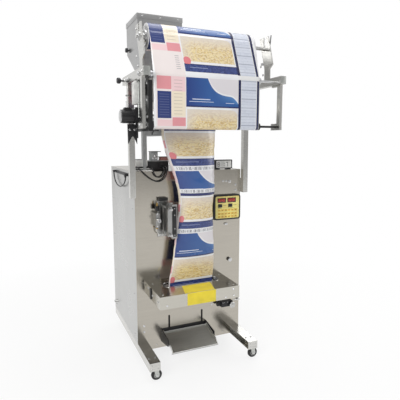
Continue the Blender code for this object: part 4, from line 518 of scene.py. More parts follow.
class Kit:
    """Closed shapes gathered into one piece."""

    def __init__(self, name, material, body="machine"):
        self.name, self.body = name, body
        self.materials = material if isinstance(material, (list, tuple)) else [material]
        self.bm = bmesh.new()
        self.slot = 0

    def add(self, build):
        before = set(self.bm.faces)
        build(self.bm)
        for face in self.bm.faces:
            if face not in before:
                face.material_index = self.slot
        return self

    def box(self, low, high, bevel=0.0008):
        low, high = at(*low), at(*high)

        def build(bm):
            size = high - low
            made = bmesh.ops.create_cube(
                bm, size=1, matrix=Matrix.Translation((low + high) / 2) @ Matrix.Diagonal((*size, 1)),
            )
            width = min(bevel, min(size) * 0.4)
            if width > 0:
                edges = list({e for v in made["verts"] for e in v.link_edges})
                bmesh.ops.bevel(bm, geom=edges, offset=width, segments=2, affect="EDGES", profile=0.6)

        return self.add(build)

    def lathe(self, start, axis, profile, steps=24):
        """A turned shape: profile is (distance along the axis, radius) from one end to the other."""
        start, axis = at(*start), Vector(axis).normalized()
        side = axis.orthogonal().normalized()
        other = axis.cross(side)

        def build(bm):
            rows = []
            for along, radius in profile:
                centre = start + axis * along
                if radius < 1e-6:
                    rows.append([bm.verts.new(centre)])
                    continue
                turns = (2 * math.pi * i / steps for i in range(steps))
                rows.append([
                    bm.verts.new(centre + (side * math.cos(a) + other * math.sin(a)) * radius)
                    for a in turns
                ])
            for one, two in zip(rows, rows[1:]):
                for i in range(steps):
                    j = (i + 1) % steps
                    if len(one) == 1 and len(two) == 1:
                        continue
                    if len(one) == 1:
                        bm.faces.new((one[0], two[i], two[j]))
                    elif len(two) == 1:
                        bm.faces.new((one[i], two[0], one[j]))
                    else:
                        bm.faces.new((one[i], two[i], two[j], one[j]))
            for row, flip in ((rows[0], True), (rows[-1], False)):
                if len(row) > 1:
                    bm.faces.new(row if not flip else row[::-1])

        return self.add(build)

    def rod(self, start, end, radius, steps=16, chamfer=0.0006):
        length = (Vector(end) - Vector(start)).length
        c = min(chamfer, radius * 0.3, length * 0.3)
        return self.lathe(
            start, Vector(end) - Vector(start),
            [(0, radius - c), (c, radius), (length - c, radius), (length, radius - c)], steps,
        )

    def bolt(self, place, axis, radius=0.005, head=0.0035, washer=True):
        """A hexagon head on a washer; place is on the surface and axis points out of it."""
        place, axis = Vector(place), Vector(axis).normalized()
        lift = 0.0
        if washer:
            self.lathe(place, axis, [(0, radius * 1.5), (0.0009, radius * 1.5), (0.0011, radius * 1.4)], 20)
            lift = 0.0009
        start = place + axis * lift
        return self.lathe(start, axis, [(0, radius), (head * 0.8, radius), (head, radius * 0.84)], 6)

    def screw(self, place, axis, radius=0.004):
        """A domed socket screw."""
        place, axis = Vector(place), Vector(axis).normalized()
        r = radius
        profile = [
            (0, r), (r * 0.35, r), (r * 0.62, r * 0.78), (r * 0.72, r * 0.45), (r * 0.35, r * 0.42),
            (r * 0.3, 0),
        ]
        return self.lathe(place, axis, profile, 14)

    def plate(self, outline, axis, low, high, bevel=0.0006):
        """A plate cut to an outline of (y, z), (x, z) or (x, y), and as thick as low to high along axis."""
        columns = {"X": (Y, Z, X), "Y": (X, Z, Y), "Z": (X, Y, Z)}[axis]

        def build(bm):
            rows = []
            for h in (low, high):
                rows.append([
                    bm.verts.new(columns[0] * p[0] + columns[1] * p[1] + columns[2] * h + SHIFT)
                    for p in outline
                ])
            n = len(outline)
            faces = [bm.faces.new(rows[0][::-1]), bm.faces.new(rows[1])]
            for i in range(n):
                j = (i + 1) % n
                faces.append(bm.faces.new((rows[0][i], rows[0][j], rows[1][j], rows[1][i])))
            if bevel:
                rim = [e for f in faces[:2] for e in f.edges]
                bmesh.ops.bevel(
                    bm, geom=rim, offset=min(bevel, abs(high - low) * 0.4), segments=1, affect="EDGES",
                )

        return self.add(build)

    def done(self, smooth=True):
        bmesh.ops.recalc_face_normals(self.bm, faces=self.bm.faces)
        mesh = bpy.data.meshes.new(self.name)
        self.bm.to_mesh(mesh)
        self.bm.free()
        for material in self.materials:
            mesh.materials.append(material)
        if smooth:
            mesh.shade_smooth()
            mesh.set_sharp_from_angle(angle=math.radians(38))
        made = bpy.data.objects.new(self.name, mesh)
        bpy.context.scene.collection.objects.link(made)
        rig.ride(made, self.body)
        return made


def join_loops(bm, loops):
    """Quads between each two closed loops of points that follow each other."""
    for one, two in zip(loops, loops[1:]):
        for a, b, c, d in zip(one, one[1:] + one[:1], two[1:] + two[:1], two):
            bm.faces.new((a, b, c, d))


def extent(node):
    """The sides of a node's box in the layout frame: (x0, x1), (y0, y1), (z0, z1)."""
    low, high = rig.box(node)
    return [(a - c, b - c) for a, b, c in zip(low, high, SHIFT)]


def rounded(x0, x1, y0, y1, radius, steps=5):
    """Outline of a rectangle with round corners."""
    points = []
    for cx, cy, start in (
        (x1 - radius, y0 + radius, -90), (x1 - radius, y1 - radius, 0), (x0 + radius, y1 - radius, 90),
        (x0 + radius, y0 + radius, 180),
    ):
        for i in range(steps + 1):
            a = math.radians(start + 90 * i / steps)
            points.append((cx + radius * math.cos(a), cy + radius * math.sin(a)))
    return points


def soften(node, width=0.0009, segments=2):
    """Rounds a CAD node's sharp edges a little, without changing its mesh."""
    made = NODES[node]
    weld = made.modifiers.new("weld", "WELD")
    weld.merge_threshold = 1e-5
    bevel = made.modifiers.new("bevel", "BEVEL")
    bevel.width = width
    bevel.segments = segments
    bevel.limit_method = "ANGLE"
    bevel.angle_limit = math.radians(50)
    bevel.use_clamp_overlap = True
    bevel.harden_normals = False


def paint(nodes, material):
    for node in nodes.split():
        mesh = NODES[node].data
        mesh.materials.clear()
        mesh.materials.append(material)


# Materials

FRONT = brushed("front_sheet", (183, 178, 168), 0.18, (5, 5, 900), 0.03)
# The seal box's sheet, with painted shade on its inner faces.
BOX = shade_painted_inside("seal_box_sheet_shaded_inside", "seal_box", 0.0012, (196, 193, 184), 0.19, (5, 5, 700), 0.03)
# The side sheets are rougher than the front sheet, and their lighter tone is a painted reflection of the white
# surroundings.
SIDE = brushed("side_sheet", (192, 192, 190), 0.3, (5, 5, 800), 0.03)
TUBE = brushed("polished_tube", (205, 204, 200), 0.2, (30, 30, 300), 0.05, 0.15)
SHEET = brushed("brushed_sheet", (205, 203, 197), 0.3, (700, 8, 8), 0.05)
HOPPER = brushed("hopper_sheet", (188, 188, 188), 0.33, (6, 6, 700), 0.05)
TRAY = brushed("tray_sheet", (214, 214, 210), 0.34, (6, 500, 6), 0.04)
BRIGHT = turned_steel("bright_steel", (206, 206, 206), 0.16)
DULL = turned_steel("machined_steel", (178, 178, 176), 0.32)
ALLOY = turned_steel("machined_alloy", (205, 206, 208), 0.3)
ZINC = brushed("zinc_plate", (190, 192, 188), 0.35, (120, 120, 120), 0.1)
BLACK = painted("black_paint", (26, 26, 28), 0.34)
PLASTIC = painted("black_moulding", (30, 30, 33), 0.42, grain=0.35)
GREY = painted("grey_paint", (150, 152, 152), 0.45)
RUBBER = painted("black_rubber", (14, 14, 15), 0.55, grain=0.3)
CABLE = painted("cable_jacket", (18, 18, 20), 0.38, grain=0.15)
BRASS = turned_steel("brass", (196, 162, 96), 0.25)
WHITE_PLASTIC = painted("white_moulding", (228, 228, 224), 0.4, grain=0.15)
RED_PLASTIC = painted("brown_red_plate", (138, 92, 84), 0.45)
YELLOW = painted("yellow_plate", (236, 214, 56), 0.42, grain=0.05, spread=0.03)
CREAM_FACE = painted("panel_face", (248, 222, 138), 0.42, grain=0.1)
KEY = painted("panel_key", (226, 186, 84), 0.4, grain=0.1)
CARD = painted("roll_core", (222, 218, 210), 0.7)
PRINT = print_material("printed_film")


def display_glass():
    s = Shader("display_glass", roughness=0.12, coat=0.6)
    s.shader.inputs["Coat Roughness"].default_value = 0.05
    s.colour(s.mix(s.noise(120, detail=2), linear((66, 14, 14)), linear((92, 22, 20))))
    return s.material


def lit_digits():
    s = Shader("display_digits", roughness=0.4)
    s.colour(s.mix(s.noise(60), linear((180, 40, 30)), linear((225, 70, 50))))
    s.shader.inputs["Emission Color"].default_value = linear((230, 60, 40))
    s.shader.inputs["Emission Strength"].default_value = 0.35
    return s.material


def roll_end():
    """Edges of the wound film: fine rings about the roll's axis."""
    s = Shader("roll_end", roughness=0.5)
    centre = (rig.box("film_roll")[0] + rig.box("film_roll")[1]) / 2
    parts = s.node("ShaderNodeSeparateXYZ", Vector=s.coordinates())
    dy, dz = s.minus(parts.outputs[1], centre.y), s.minus(parts.outputs[2], centre.z)
    radius = s.math("SQRT", s.plus(s.math("POWER", dy, 2.0), s.math("POWER", dz, 2.0)))
    wave = s.math("SINE", s.times(radius, 5200.0))
    broad = s.math("SINE", s.times(radius, 520.0))
    both = s.plus(s.times(wave, 0.3), s.times(broad, 0.5))
    wound = s.mix(s.spread(both, -0.8, 0.8), linear((150, 150, 152)), linear((226, 226, 226)))
    s.colour(s.mix(s.spread(radius, 0.052, 0.06), wound, linear((238, 238, 238))))
    s.bump(wave, 0.3, 0.0004)
    return s.material


GLASS = display_glass()
DIGITS = lit_digits()
ROLL_END = roll_end()


# Cords. Their routes repeat the CAD's, in the layout frame.

EXIT_Z = 1.206
LOOP = (
    (0.2, 0.0577, EXIT_Z), (0.2, 0.035, EXIT_Z), (0.199, 0.01, 1.203), (0.196, -0.009, 1.186),
    (0.189, -0.014, 1.16), (0.173, -0.014, 1.138), (0.15, -0.014, 1.126), (0.125, -0.014, 1.127),
    (0.098, -0.014, 1.14), (0.074, -0.013, 1.158), (0.054, -0.012, 1.176), (0.038, -0.006, 1.193),
    (0.03, 0.01, 1.204), (0.028, 0.035, EXIT_Z), (0.028, 0.0577, EXIT_Z),
)
SMALL_LOOP = (
    (0.18, 0.0577, EXIT_Z), (0.18, 0.035, EXIT_Z), (0.18, 0.01, 1.203), (0.1795, -0.008, 1.189),
    (0.175, -0.014, 1.171), (0.163, -0.014, 1.156), (0.146, -0.014, 1.15), (0.129, -0.014, 1.155),
    (0.117, -0.014, 1.17), (0.111, -0.008, 1.189), (0.11, 0.01, 1.203), (0.11, 0.035, EXIT_Z),
    (0.11, 0.0577, EXIT_Z),
)
SIDE_LOOP = (
    (-0.014, 0.49, 1.15), (-0.014, 0.49, 1.138), (-0.014, 0.479, 1.118), (-0.014, 0.455, 1.097),
    (-0.014, 0.42, 1.081), (-0.014, 0.378, 1.073), (-0.014, 0.332, 1.07), (-0.014, 0.286, 1.073),
    (-0.014, 0.243, 1.082), (-0.014, 0.207, 1.095), (-0.014, 0.18, 1.111), (-0.014, 0.161, 1.129),
    (-0.014, 0.16, 1.14),
)
AIR_HOSE = (
    (0.123, -0.03, 0.8477), (0.123, -0.03, 0.838), (0.126, -0.03, 0.822), (0.136, -0.03, 0.809),
    (0.152, -0.03, 0.803), (0.17, -0.03, 0.805), (0.187, -0.029, 0.814), (0.2, -0.028, 0.829),
    (0.206, -0.026, 0.846), (0.207, -0.025, 0.86), (0.207, -0.025, 0.8697),
)


def smooth_route(points, steps):
    route = [at(*p) for p in points]
    route = [2 * route[0] - route[1], *route, 2 * route[-1] - route[-2]]
    line = [route[1]]
    for a, b, c, d in zip(route, route[1:], route[2:], route[3:]):
        for i in range(1, steps + 1):
            t = i / steps
            square = (2 * a - 5 * b + 4 * c - d) * t**2
            line.append((2 * b + (c - a) * t + square + (3 * b - a - 3 * c + d) * t**3) / 2)
    return line


def make_cord(name, points, steps, radius, material, node, stiffness):
    line = smooth_route(points, steps)
    curve = bpy.data.curves.new(name, "CURVE")
    curve.dimensions = "3D"
    curve.bevel_depth = radius
    curve.bevel_resolution = 4
    curve.use_fill_caps = True
    spline = curve.splines.new("POLY")
    spline.points.add(len(line) - 1)
    for point, place in zip(spline.points, line):
        point.co = (*place, 1)
    spline.use_smooth = True
    curve.materials.append(material)
    made = bpy.data.objects.new(name, curve)
    bpy.context.scene.collection.objects.link(made)
    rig.ride(made, "machine")
    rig.replaces(made, node)
    length = sum((b - a).length for a, b in zip(line, line[1:]))
    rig.cord(
        made, exit=tuple(line[0]), length=round(length, 3), diameter=2 * radius, far_end="object",
        stiffness=stiffness, lay="hanging",
    )


def make_cords():
    make_cord("motor_cable", LOOP, 2, 0.004, CABLE, "loop_cable", "medium")
    make_cord("sensor_cable", SMALL_LOOP, 3, 0.004, CABLE, "small_loop_cable", "medium")
    make_cord("side_lead", SIDE_LOOP, 3, 0.004, CABLE, "side_cable", "medium")
    make_cord("air_hose", AIR_HOSE, 3, 0.003, WHITE_PLASTIC, "seal_hose", "medium")


# Film

ROLL_LOW, ROLL_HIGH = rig.box("film_roll")
ROLL_CENTRE = (ROLL_LOW + ROLL_HIGH) / 2 - SHIFT
ROLL_RADIUS = (ROLL_HIGH.z - ROLL_LOW.z) / 2
WEB_LEFT, WEB_RIGHT = ROLL_LOW.x - SHIFT.x, ROLL_HIGH.x - SHIFT.x
ROLLER = (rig.box("top_guide_roller")[0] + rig.box("top_guide_roller")[1]) / 2 - SHIFT
ROLLER_RADIUS = (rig.box("top_guide_roller")[1].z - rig.box("top_guide_roller")[0].z) / 2
DRAW = (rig.box("draw_roller")[0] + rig.box("draw_roller")[1]) / 2 - SHIFT
LINE_X, LINE_Y = 0.314, -0.085
SECTIONS = (
    (1.445, -0.173, 0.165, 0.087), (1.4, -0.172, 0.157, 0.086), (1.355, -0.165, 0.156, 0.085),
    (1.31, -0.154, 0.155, 0.084), (1.25, -0.133, 0.154, 0.083), (1.19, -0.109, 0.155, 0.08),
    (1.13, -0.09, 0.156, 0.079), (1.07, -0.075, 0.157, 0.074), (1.01, -0.069, 0.149, 0.066),
    (0.95, -0.076, 0.146, 0.058), (0.89, -0.083, 0.149, 0.051), (0.8, -0.096, 0.154, 0.044),
    (0.71, -0.107, 0.157, 0.036), (0.64, -0.117, 0.157, 0.026), (0.59, -0.126, 0.155, 0.015),
    (0.545, -0.136, 0.151, 0.005), (0.515, -0.139, 0.147, 0.0009), (0.438, -0.139, 0.147, 0.0009),
)
BLOCK_TOP = 1.192
ROLL_PRINT_SHIFT = 0.02


def tangent(a, radius_a, b, radius_b):
    """Ends of the line that touches two circles on their front side, and its direction out."""
    a, b = Vector(a), Vector(b)
    along = (b - a).normalized()
    cross = Vector((along.y, -along.x))
    k = (radius_a - radius_b) / (b - a).length
    normal = along * k + cross * math.sqrt(1 - k * k)
    return a + normal * radius_a, b + normal * radius_b, normal


def turn(centre, radius, start, end, steps):
    a, b = math.atan2(start.y, start.x), math.atan2(end.y, end.x)
    if b < a:
        b += 2 * math.pi
    turns = (a + (b - a) * i / steps for i in range(1, steps))
    return [Vector((centre[0] + radius * math.cos(t), centre[1] + radius * math.sin(t))) for t in turns]


def run(a, b, steps):
    return [a.lerp(b, i / steps) for i in range(steps + 1)]


def web_path():
    lift = 0.0007
    roll, top, draw = (ROLL_CENTRE.y, ROLL_CENTRE.z), (ROLLER.y, ROLLER.z), (DRAW.y, DRAW.z)
    collar_low, collar_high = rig.box("former_collar")
    lip = (collar_low.y - SHIFT.y - 0.001, collar_high.z + 0.003)
    r = ROLLER_RADIUS + lift
    a, b, normal_in = tangent(roll, ROLL_RADIUS + lift, top, r)
    front = Vector((-1, 0))
    c, d, normal_out = tangent(draw, r, lip, 0)
    path = run(a, b, 14)
    path += turn(top, r, normal_in, front, 6)
    upper, lower = Vector((ROLLER.y - r, ROLLER.z)), Vector((DRAW.y - r, DRAW.z))
    zero = len(path)
    path += run(upper, lower, 24)
    path += turn(draw, r, front, normal_out, 12)
    flat = len(path)
    path += run(c, d, 10)
    return path, zero, flat


def grid_mesh(name, rows, material, closed=False, thickness=0.0006, offset=0.0):
    """A thin sheet through rows of (point, u, v)."""
    bm = bmesh.new()
    layer = bm.loops.layers.uv.new("uv")
    verts = [[bm.verts.new(p[0]) for p in row] for row in rows]
    count = len(rows[0])
    for i in range(len(rows) - 1):
        for j in range(count if closed else count - 1):
            k = (j + 1) % count
            face = bm.faces.new((verts[i][j], verts[i][k], verts[i + 1][k], verts[i + 1][j]))
            spans = [rows[i][j], rows[i][k], rows[i + 1][k], rows[i + 1][j]]
            us = [p[1] for p in spans]
            if closed and k == 0:
                us = [
                    us[0], us[0] + (us[0] - rows[i][j - 1][1]), us[3] + (us[3] - rows[i + 1][j - 1][1]),
                    us[3],
                ]
            for loop, p, u in zip(face.loops, spans, us):
                loop[layer].uv = (u, p[2])
    mesh = bpy.data.meshes.new(name)
    bm.to_mesh(mesh)
    bm.free()
    mesh.shade_smooth()
    mesh.materials.append(material)
    made = bpy.data.objects.new(name, mesh)
    bpy.context.scene.collection.objects.link(made)
    thick = made.modifiers.new("wall", "SOLIDIFY")
    thick.thickness = thickness
    thick.offset = offset
    return made


FLAT_WIDTH = 0.6
FRONT_U = 0.293
BORE_RADIUS, CORE_RADIUS = 0.0385, 0.0425


def make_film():
    """The web from the roll to the collar, the roll itself, and the tube below the collar."""
    path, zero, flat = web_path()
    lengths = [0.0]
    for a, b in zip(path, path[1:]):
        lengths.append(lengths[-1] + (b - a).length)
    start_v = -lengths[zero] - 0.006
    columns = 60
    rows = []
    for i, (point, length) in enumerate(zip(path, lengths)):
        share = max(0, i - flat) / (len(path) - 1 - flat)
        row = []
        for k in range(columns + 1):
            across = k / columns
            left = WEB_LEFT * (1 - share) + (LINE_X - 0.168) * share
            right = WEB_RIGHT * (1 - share) + (LINE_X + 0.16) * share
            x = left + (right - left) * across
            wave = 0.0
            if zero < i < flat - 12:
                held = min(i - zero, flat - 12 - i) / 8
                wave = min(1, held) * 0.0022 * noise.noise(Vector((x * 9, point.y * 4, 0.3)))
            u = across * (WEB_RIGHT - WEB_LEFT) + ROLL_PRINT_SHIFT * max(0, 1 - length / lengths[zero])
            row.append((at(x, point.x - abs(wave), point.y), u, start_v + length))
        rows.append(row)
    web = grid_mesh("film_curtain", rows, PRINT)
    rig.ride(web, "machine")
    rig.replaces(web, "film_web")
    rests_on = ["film_roll", "top_guide_roller", "draw_roller"]
    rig.sheet(web, flat=(WEB_RIGHT - WEB_LEFT, lengths[-1]), held="stretched", rests_on=rests_on)

    # The roll: its outer turn carries the print, which meets the web's at the tangent.
    first = Vector((path[0].x - ROLL_CENTRE.y, path[0].y - ROLL_CENTRE.z))
    turn_start = math.atan2(first.y, first.x)
    kit = Kit("film_supply", [PRINT, ROLL_END, CARD], "supply_roll")
    layer = kit.bm.loops.layers.uv.new("uv")
    steps, spans = 96, 30
    rings = []
    for s in range(spans + 1):
        x = WEB_LEFT + (WEB_RIGHT - WEB_LEFT) * s / spans
        ring = []
        for i in range(steps):
            a = turn_start - 2 * math.pi * i / steps
            ring.append(kit.bm.verts.new(at(
                x, ROLL_CENTRE.y + math.cos(a) * ROLL_RADIUS, ROLL_CENTRE.z + math.sin(a) * ROLL_RADIUS,
            )))
        rings.append(ring)
    for s in range(spans):
        for i in range(steps):
            j = (i + 1) % steps
            face = kit.bm.faces.new((rings[s][i], rings[s + 1][i], rings[s + 1][j], rings[s][j]))
            for loop, (su, iv) in zip(face.loops, ((s, i), (s + 1, i), (s + 1, i + 1), (s, i + 1))):
                u = (WEB_RIGHT - WEB_LEFT) * su / spans + ROLL_PRINT_SHIFT
                loop[layer].uv = (u, start_v - ROLL_RADIUS * 2 * math.pi * iv / steps)
    for ring, end, out in ((rings[0], WEB_LEFT, -1), (rings[-1], WEB_RIGHT, 1)):
        inner_rings = [ring]
        for radius, push in (
            (CORE_RADIUS, 0.0), (CORE_RADIUS, 0.0012), (BORE_RADIUS, 0.0012), (BORE_RADIUS, -0.03),
        ):
            made = []
            for i in range(steps):
                a = turn_start - 2 * math.pi * i / steps
                made.append(kit.bm.verts.new(at(
                    end + out * push, ROLL_CENTRE.y + math.cos(a) * radius,
                    ROLL_CENTRE.z + math.sin(a) * radius,
                )))
            inner_rings.append(made)
        for n, (one, two) in enumerate(zip(inner_rings, inner_rings[1:])):
            for i in range(steps):
                j = (i + 1) % steps
                face = kit.bm.faces.new((one[i], one[j], two[j], two[i]))
                face.material_index = 1 if n == 0 else 2
    roll = kit.done()
    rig.replaces(roll, "film_roll")

    # The tube under the collar.
    tube_rows = []
    levels = 90
    top, low = SECTIONS[0][0], SECTIONS[-1][0]
    around = 96
    for i in range(levels + 1):
        z = top + (low - top) * i / levels
        left, right, depth = section_at(z)
        row = []
        for k in range(around):
            a = -math.pi / 2 + 2 * math.pi * k / around
            # u is FRONT_U at the middle of the front and follows the girth.
            share = k / around if k <= around / 2 else k / around - 1
            middle, half = LINE_X + (left + right) / 2, (right - left) / 2
            x, y = middle + half * math.cos(a), LINE_Y + depth * math.sin(a)
            crease = 0.0
            if depth > 0.01:
                calm = min(1, (depth - 0.01) / 0.03)
                crease = calm * 0.0045 * noise.noise(Vector((x * 7, y * 7, z * 16)))
                crease += calm * 0.0028 * noise.noise(Vector((x * 20 + z * 9, y * 20, z * 30)))
            inward = Vector((math.cos(a) * depth, math.sin(a) * half)).normalized()
            x -= inward.x * abs(crease)
            y -= inward.y * abs(crease)
            row.append((at(x, y, z), FRONT_U + share * FLAT_WIDTH, BLOCK_TOP - z + 3 * REPEAT))
        tube_rows.append(row)
    tube = grid_mesh("film_bag_tube", tube_rows, PRINT, closed=True)
    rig.ride(tube, "machine")
    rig.replaces(tube, "film_tube", "film_end")
    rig.sheet(tube, flat=(FLAT_WIDTH, top - low), held="gathered", rests_on=["former_collar"])


def section_at(z):
    """The tube's left side, right side and half depth at height z, blended between SECTIONS."""
    for upper, lower in zip(SECTIONS, SECTIONS[1:]):
        if z >= lower[0]:
            t = (upper[0] - z) / (upper[0] - lower[0])
            t = t * t * (3 - 2 * t) * 0.5 + t * 0.5
            return tuple(u * (1 - t) + v * t for u, v in zip(upper[1:], lower[1:]))
    return SECTIONS[-1][1:]


# Stage and light


AMBIENT = 0.42
FLAG_LEVEL = 0.26
FLAG_PHASE = 1.26
STUDIO_LEVEL = 0.9


def make_stage():
    """A floor that fades to white, and a studio that only polished metal shows."""
    s = Shader("floor_paint", roughness=0.75)
    s.colour(s.mix(s.noise(3), linear((244, 244, 243)), linear((250, 250, 249))))
    paths = s.tree.nodes.new("ShaderNodeLightPath").outputs
    seen = s.math("MAXIMUM", paths["Is Camera Ray"], paths["Is Transmission Ray"])
    seen = s.math("MAXIMUM", seen, paths["Is Glossy Ray"])
    parts = s.node("ShaderNodeSeparateXYZ", Vector=s.coordinates())
    squares = s.plus(s.math("POWER", parts.outputs[0], 2.0), s.math("POWER", parts.outputs[1], 2.0))
    whiteness = s.spread(s.math("SQRT", squares), 0.9, 2.4, 0.8, 1.0)
    glow = s.node("ShaderNodeEmission")
    glow.inputs["Color"].default_value = (1, 1, 1, 1)
    out = s.tree.nodes["Material Output"]
    blend = s.tree.nodes.new("ShaderNodeMixShader")
    s.feed(blend.inputs[0], s.times(seen, whiteness))
    s.tree.links.new(s.shader.outputs[0], blend.inputs[1])
    s.tree.links.new(glow.outputs[0], blend.inputs[2])
    s.tree.links.new(blend.outputs[0], out.inputs["Surface"])
    bm = bmesh.new()
    bmesh.ops.create_grid(bm, x_segments=8, y_segments=8, size=9)
    mesh = bpy.data.meshes.new("floor")
    bm.to_mesh(mesh)
    bm.free()
    mesh.materials.append(s.material)
    floor = bpy.data.objects.new("floor", mesh)
    bpy.context.scene.collection.objects.link(floor)
    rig.stage(floor)

    world = bpy.data.worlds.new("studio")
    bpy.context.scene.world = world
    world.use_nodes = True
    w = Shader.__new__(Shader)
    w.tree, w.place = world.node_tree, None
    back = w.tree.nodes["Background"]
    back.inputs["Color"].default_value = (1, 1, 1, 1)
    paths = w.tree.nodes.new("ShaderNodeLightPath").outputs
    place = w.tree.nodes.new("ShaderNodeTexCoord")
    way = w.node("ShaderNodeSeparateXYZ", Vector=place.outputs["Generated"])
    # Metal shows three soft grey flags standing round a white studio.
    turn_round = w.math("ARCTAN2", way.outputs[1], way.outputs[0])
    flags = w.math("COSINE", w.plus(w.times(turn_round, 3.0), FLAG_PHASE))
    side = w.spread(flags, -0.7, 0.7, FLAG_LEVEL, 1.0)
    mirrored = w.times(
        w.math("MAXIMUM", side, w.spread(way.outputs[2], 0.25, 0.75)), STUDIO_LEVEL,
    )
    direct = w.math("MAXIMUM", paths["Is Camera Ray"], paths["Is Transmission Ray"])
    level = w.math("MAXIMUM", direct, w.times(paths["Is Glossy Ray"], mirrored))
    w.feed(back.inputs["Strength"], w.math("MAXIMUM", level, AMBIENT))


def area_light(name, place, target, size, power):
    """A rectangular light at place that faces target."""
    light = bpy.data.lights.new(name, "AREA")
    light.shape = "RECTANGLE"
    light.size, light.size_y = size
    light.energy = power
    made = bpy.data.objects.new(name, light)
    made.location = at(*place)
    made.rotation_mode = "QUATERNION"
    made.rotation_quaternion = (at(*target) - at(*place)).to_track_quat("-Z", "Y")
    bpy.context.scene.collection.objects.link(made)


def make_lights():
    """Four soft area lights: key, fill, top and back."""
    area_light("key", (-2.2, -2.4, 2.8), (0.3, 0, 1.1), (1.6, 2.0), 70)
    area_light("fill", (3.6, -0.6, 2.0), (0.3, 0, 1.0), (1.6, 2.2), 26)
    area_light("top", (0.3, 0.0, 4.0), (0.3, 0, 1.0), (2.4, 2.4), 42)
    area_light("back", (2.6, 2.6, 2.6), (0.3, 0, 1.0), (2.4, 1.6), 26)


# Small pieces


def seal_box_pieces():
    """Blank label plates, bolts and the rim of the slot on the table round the seal box."""
    (left, right), (front, _), (bottom, top) = extent("seal_box")
    labels = Kit("blank_label_plates", YELLOW)
    labels.box((0.226, front - 0.0009, 0.4335), (0.405, front + 0.0002, 0.505), 0.0003)
    labels.plate(
        [(0.213, front + 0.003), (0.398, front + 0.003), (0.423, -0.136), (0.24, -0.136)], "Z",
        top - 0.0002, top + 0.0008, 0.0003,
    )
    labels.done()
    trim = Kit("seal_box_bolts", [BRIGHT, BLACK])
    for x, z in ((0.105, 0.452), (0.47, 0.446), (0.52, 0.49), (0.525, 0.45)):
        trim.bolt((x, front, z), -Y, 0.0042)
    for y, z in ((-0.225, 0.47), (-0.12, 0.47), (-0.055, 0.488), (-0.03, 0.488)):
        trim.bolt((left, y, z), -X, 0.0048)
        trim.bolt((right, y, z), X, 0.0048)
    for x, y in ((0.09, -0.23), (0.09, -0.03), (0.535, -0.23), (0.535, -0.03)):
        trim.screw((x, y, top), Z, 0.0038)
    trim.slot = 1
    trim.box((left - 0.0055, -0.096, 0.4385), (left, -0.074, 0.5005), 0.001)
    trim.box((left + 0.02, -0.19, bottom - 0.02), (left + 0.032, -0.178, bottom + 0.001), 0.001)
    trim.rod((0.445, front + 0.016, bottom + 0.001), (0.445, front + 0.016, bottom - 0.012), 0.005)
    trim.done()
    rim = Kit("slot_edge", BRIGHT)
    outline, inner = [], []
    # The slot is 0.364 long with round ends of this radius.
    radius, cx, cy = 0.0475, LINE_X + 0.006, -0.079
    half = 0.182 - radius
    for i in range(48):
        a = 2 * math.pi * i / 48
        side = half if math.cos(a) > 0 else -half
        outline.append((cx + side + math.cos(a) * (radius + 0.006), cy + math.sin(a) * (radius + 0.006)))
        inner.append((cx + side + math.cos(a) * (radius - 0.0035), cy + math.sin(a) * (radius - 0.0035)))

    def ring(bm):
        loops = []
        for points, z in (
            (inner, top - 0.004), (inner, top + 0.0012), (outline, top + 0.0012), (outline, top + 0.0001),
        ):
            loops.append([bm.verts.new(at(q[0], q[1], z)) for q in points])
        join_loops(bm, loops)

    rim.add(ring).done()


def digit(kit, x, z, face, text, size):
    """Seven-segment digits."""
    lit = "abcdef bc abged abgcd fgbc afgcd afgedc abc abcdefg abcdfg"
    segments = dict(zip("0123456789", lit.split()))
    w, h, t = size * 0.5, size, size * 0.11
    spots = {
        "a": (0, h - t, w, h), "b": (w - t, h / 2, w, h), "c": (w - t, 0, w, h / 2), "d": (0, 0, w, t),
        "e": (0, 0, t, h / 2), "f": (0, h / 2, t, h), "g": (0, h / 2 - t / 2, w, h / 2 + t / 2),
    }
    for i, mark in enumerate(text):
        for segment in segments[mark]:
            a, b, c, d = spots[segment]
            start = x + i * size * 0.74
            kit.box((start + a, face - 0.0005, z + b), (start + c, face + 0.0003, z + d), 0.0001)


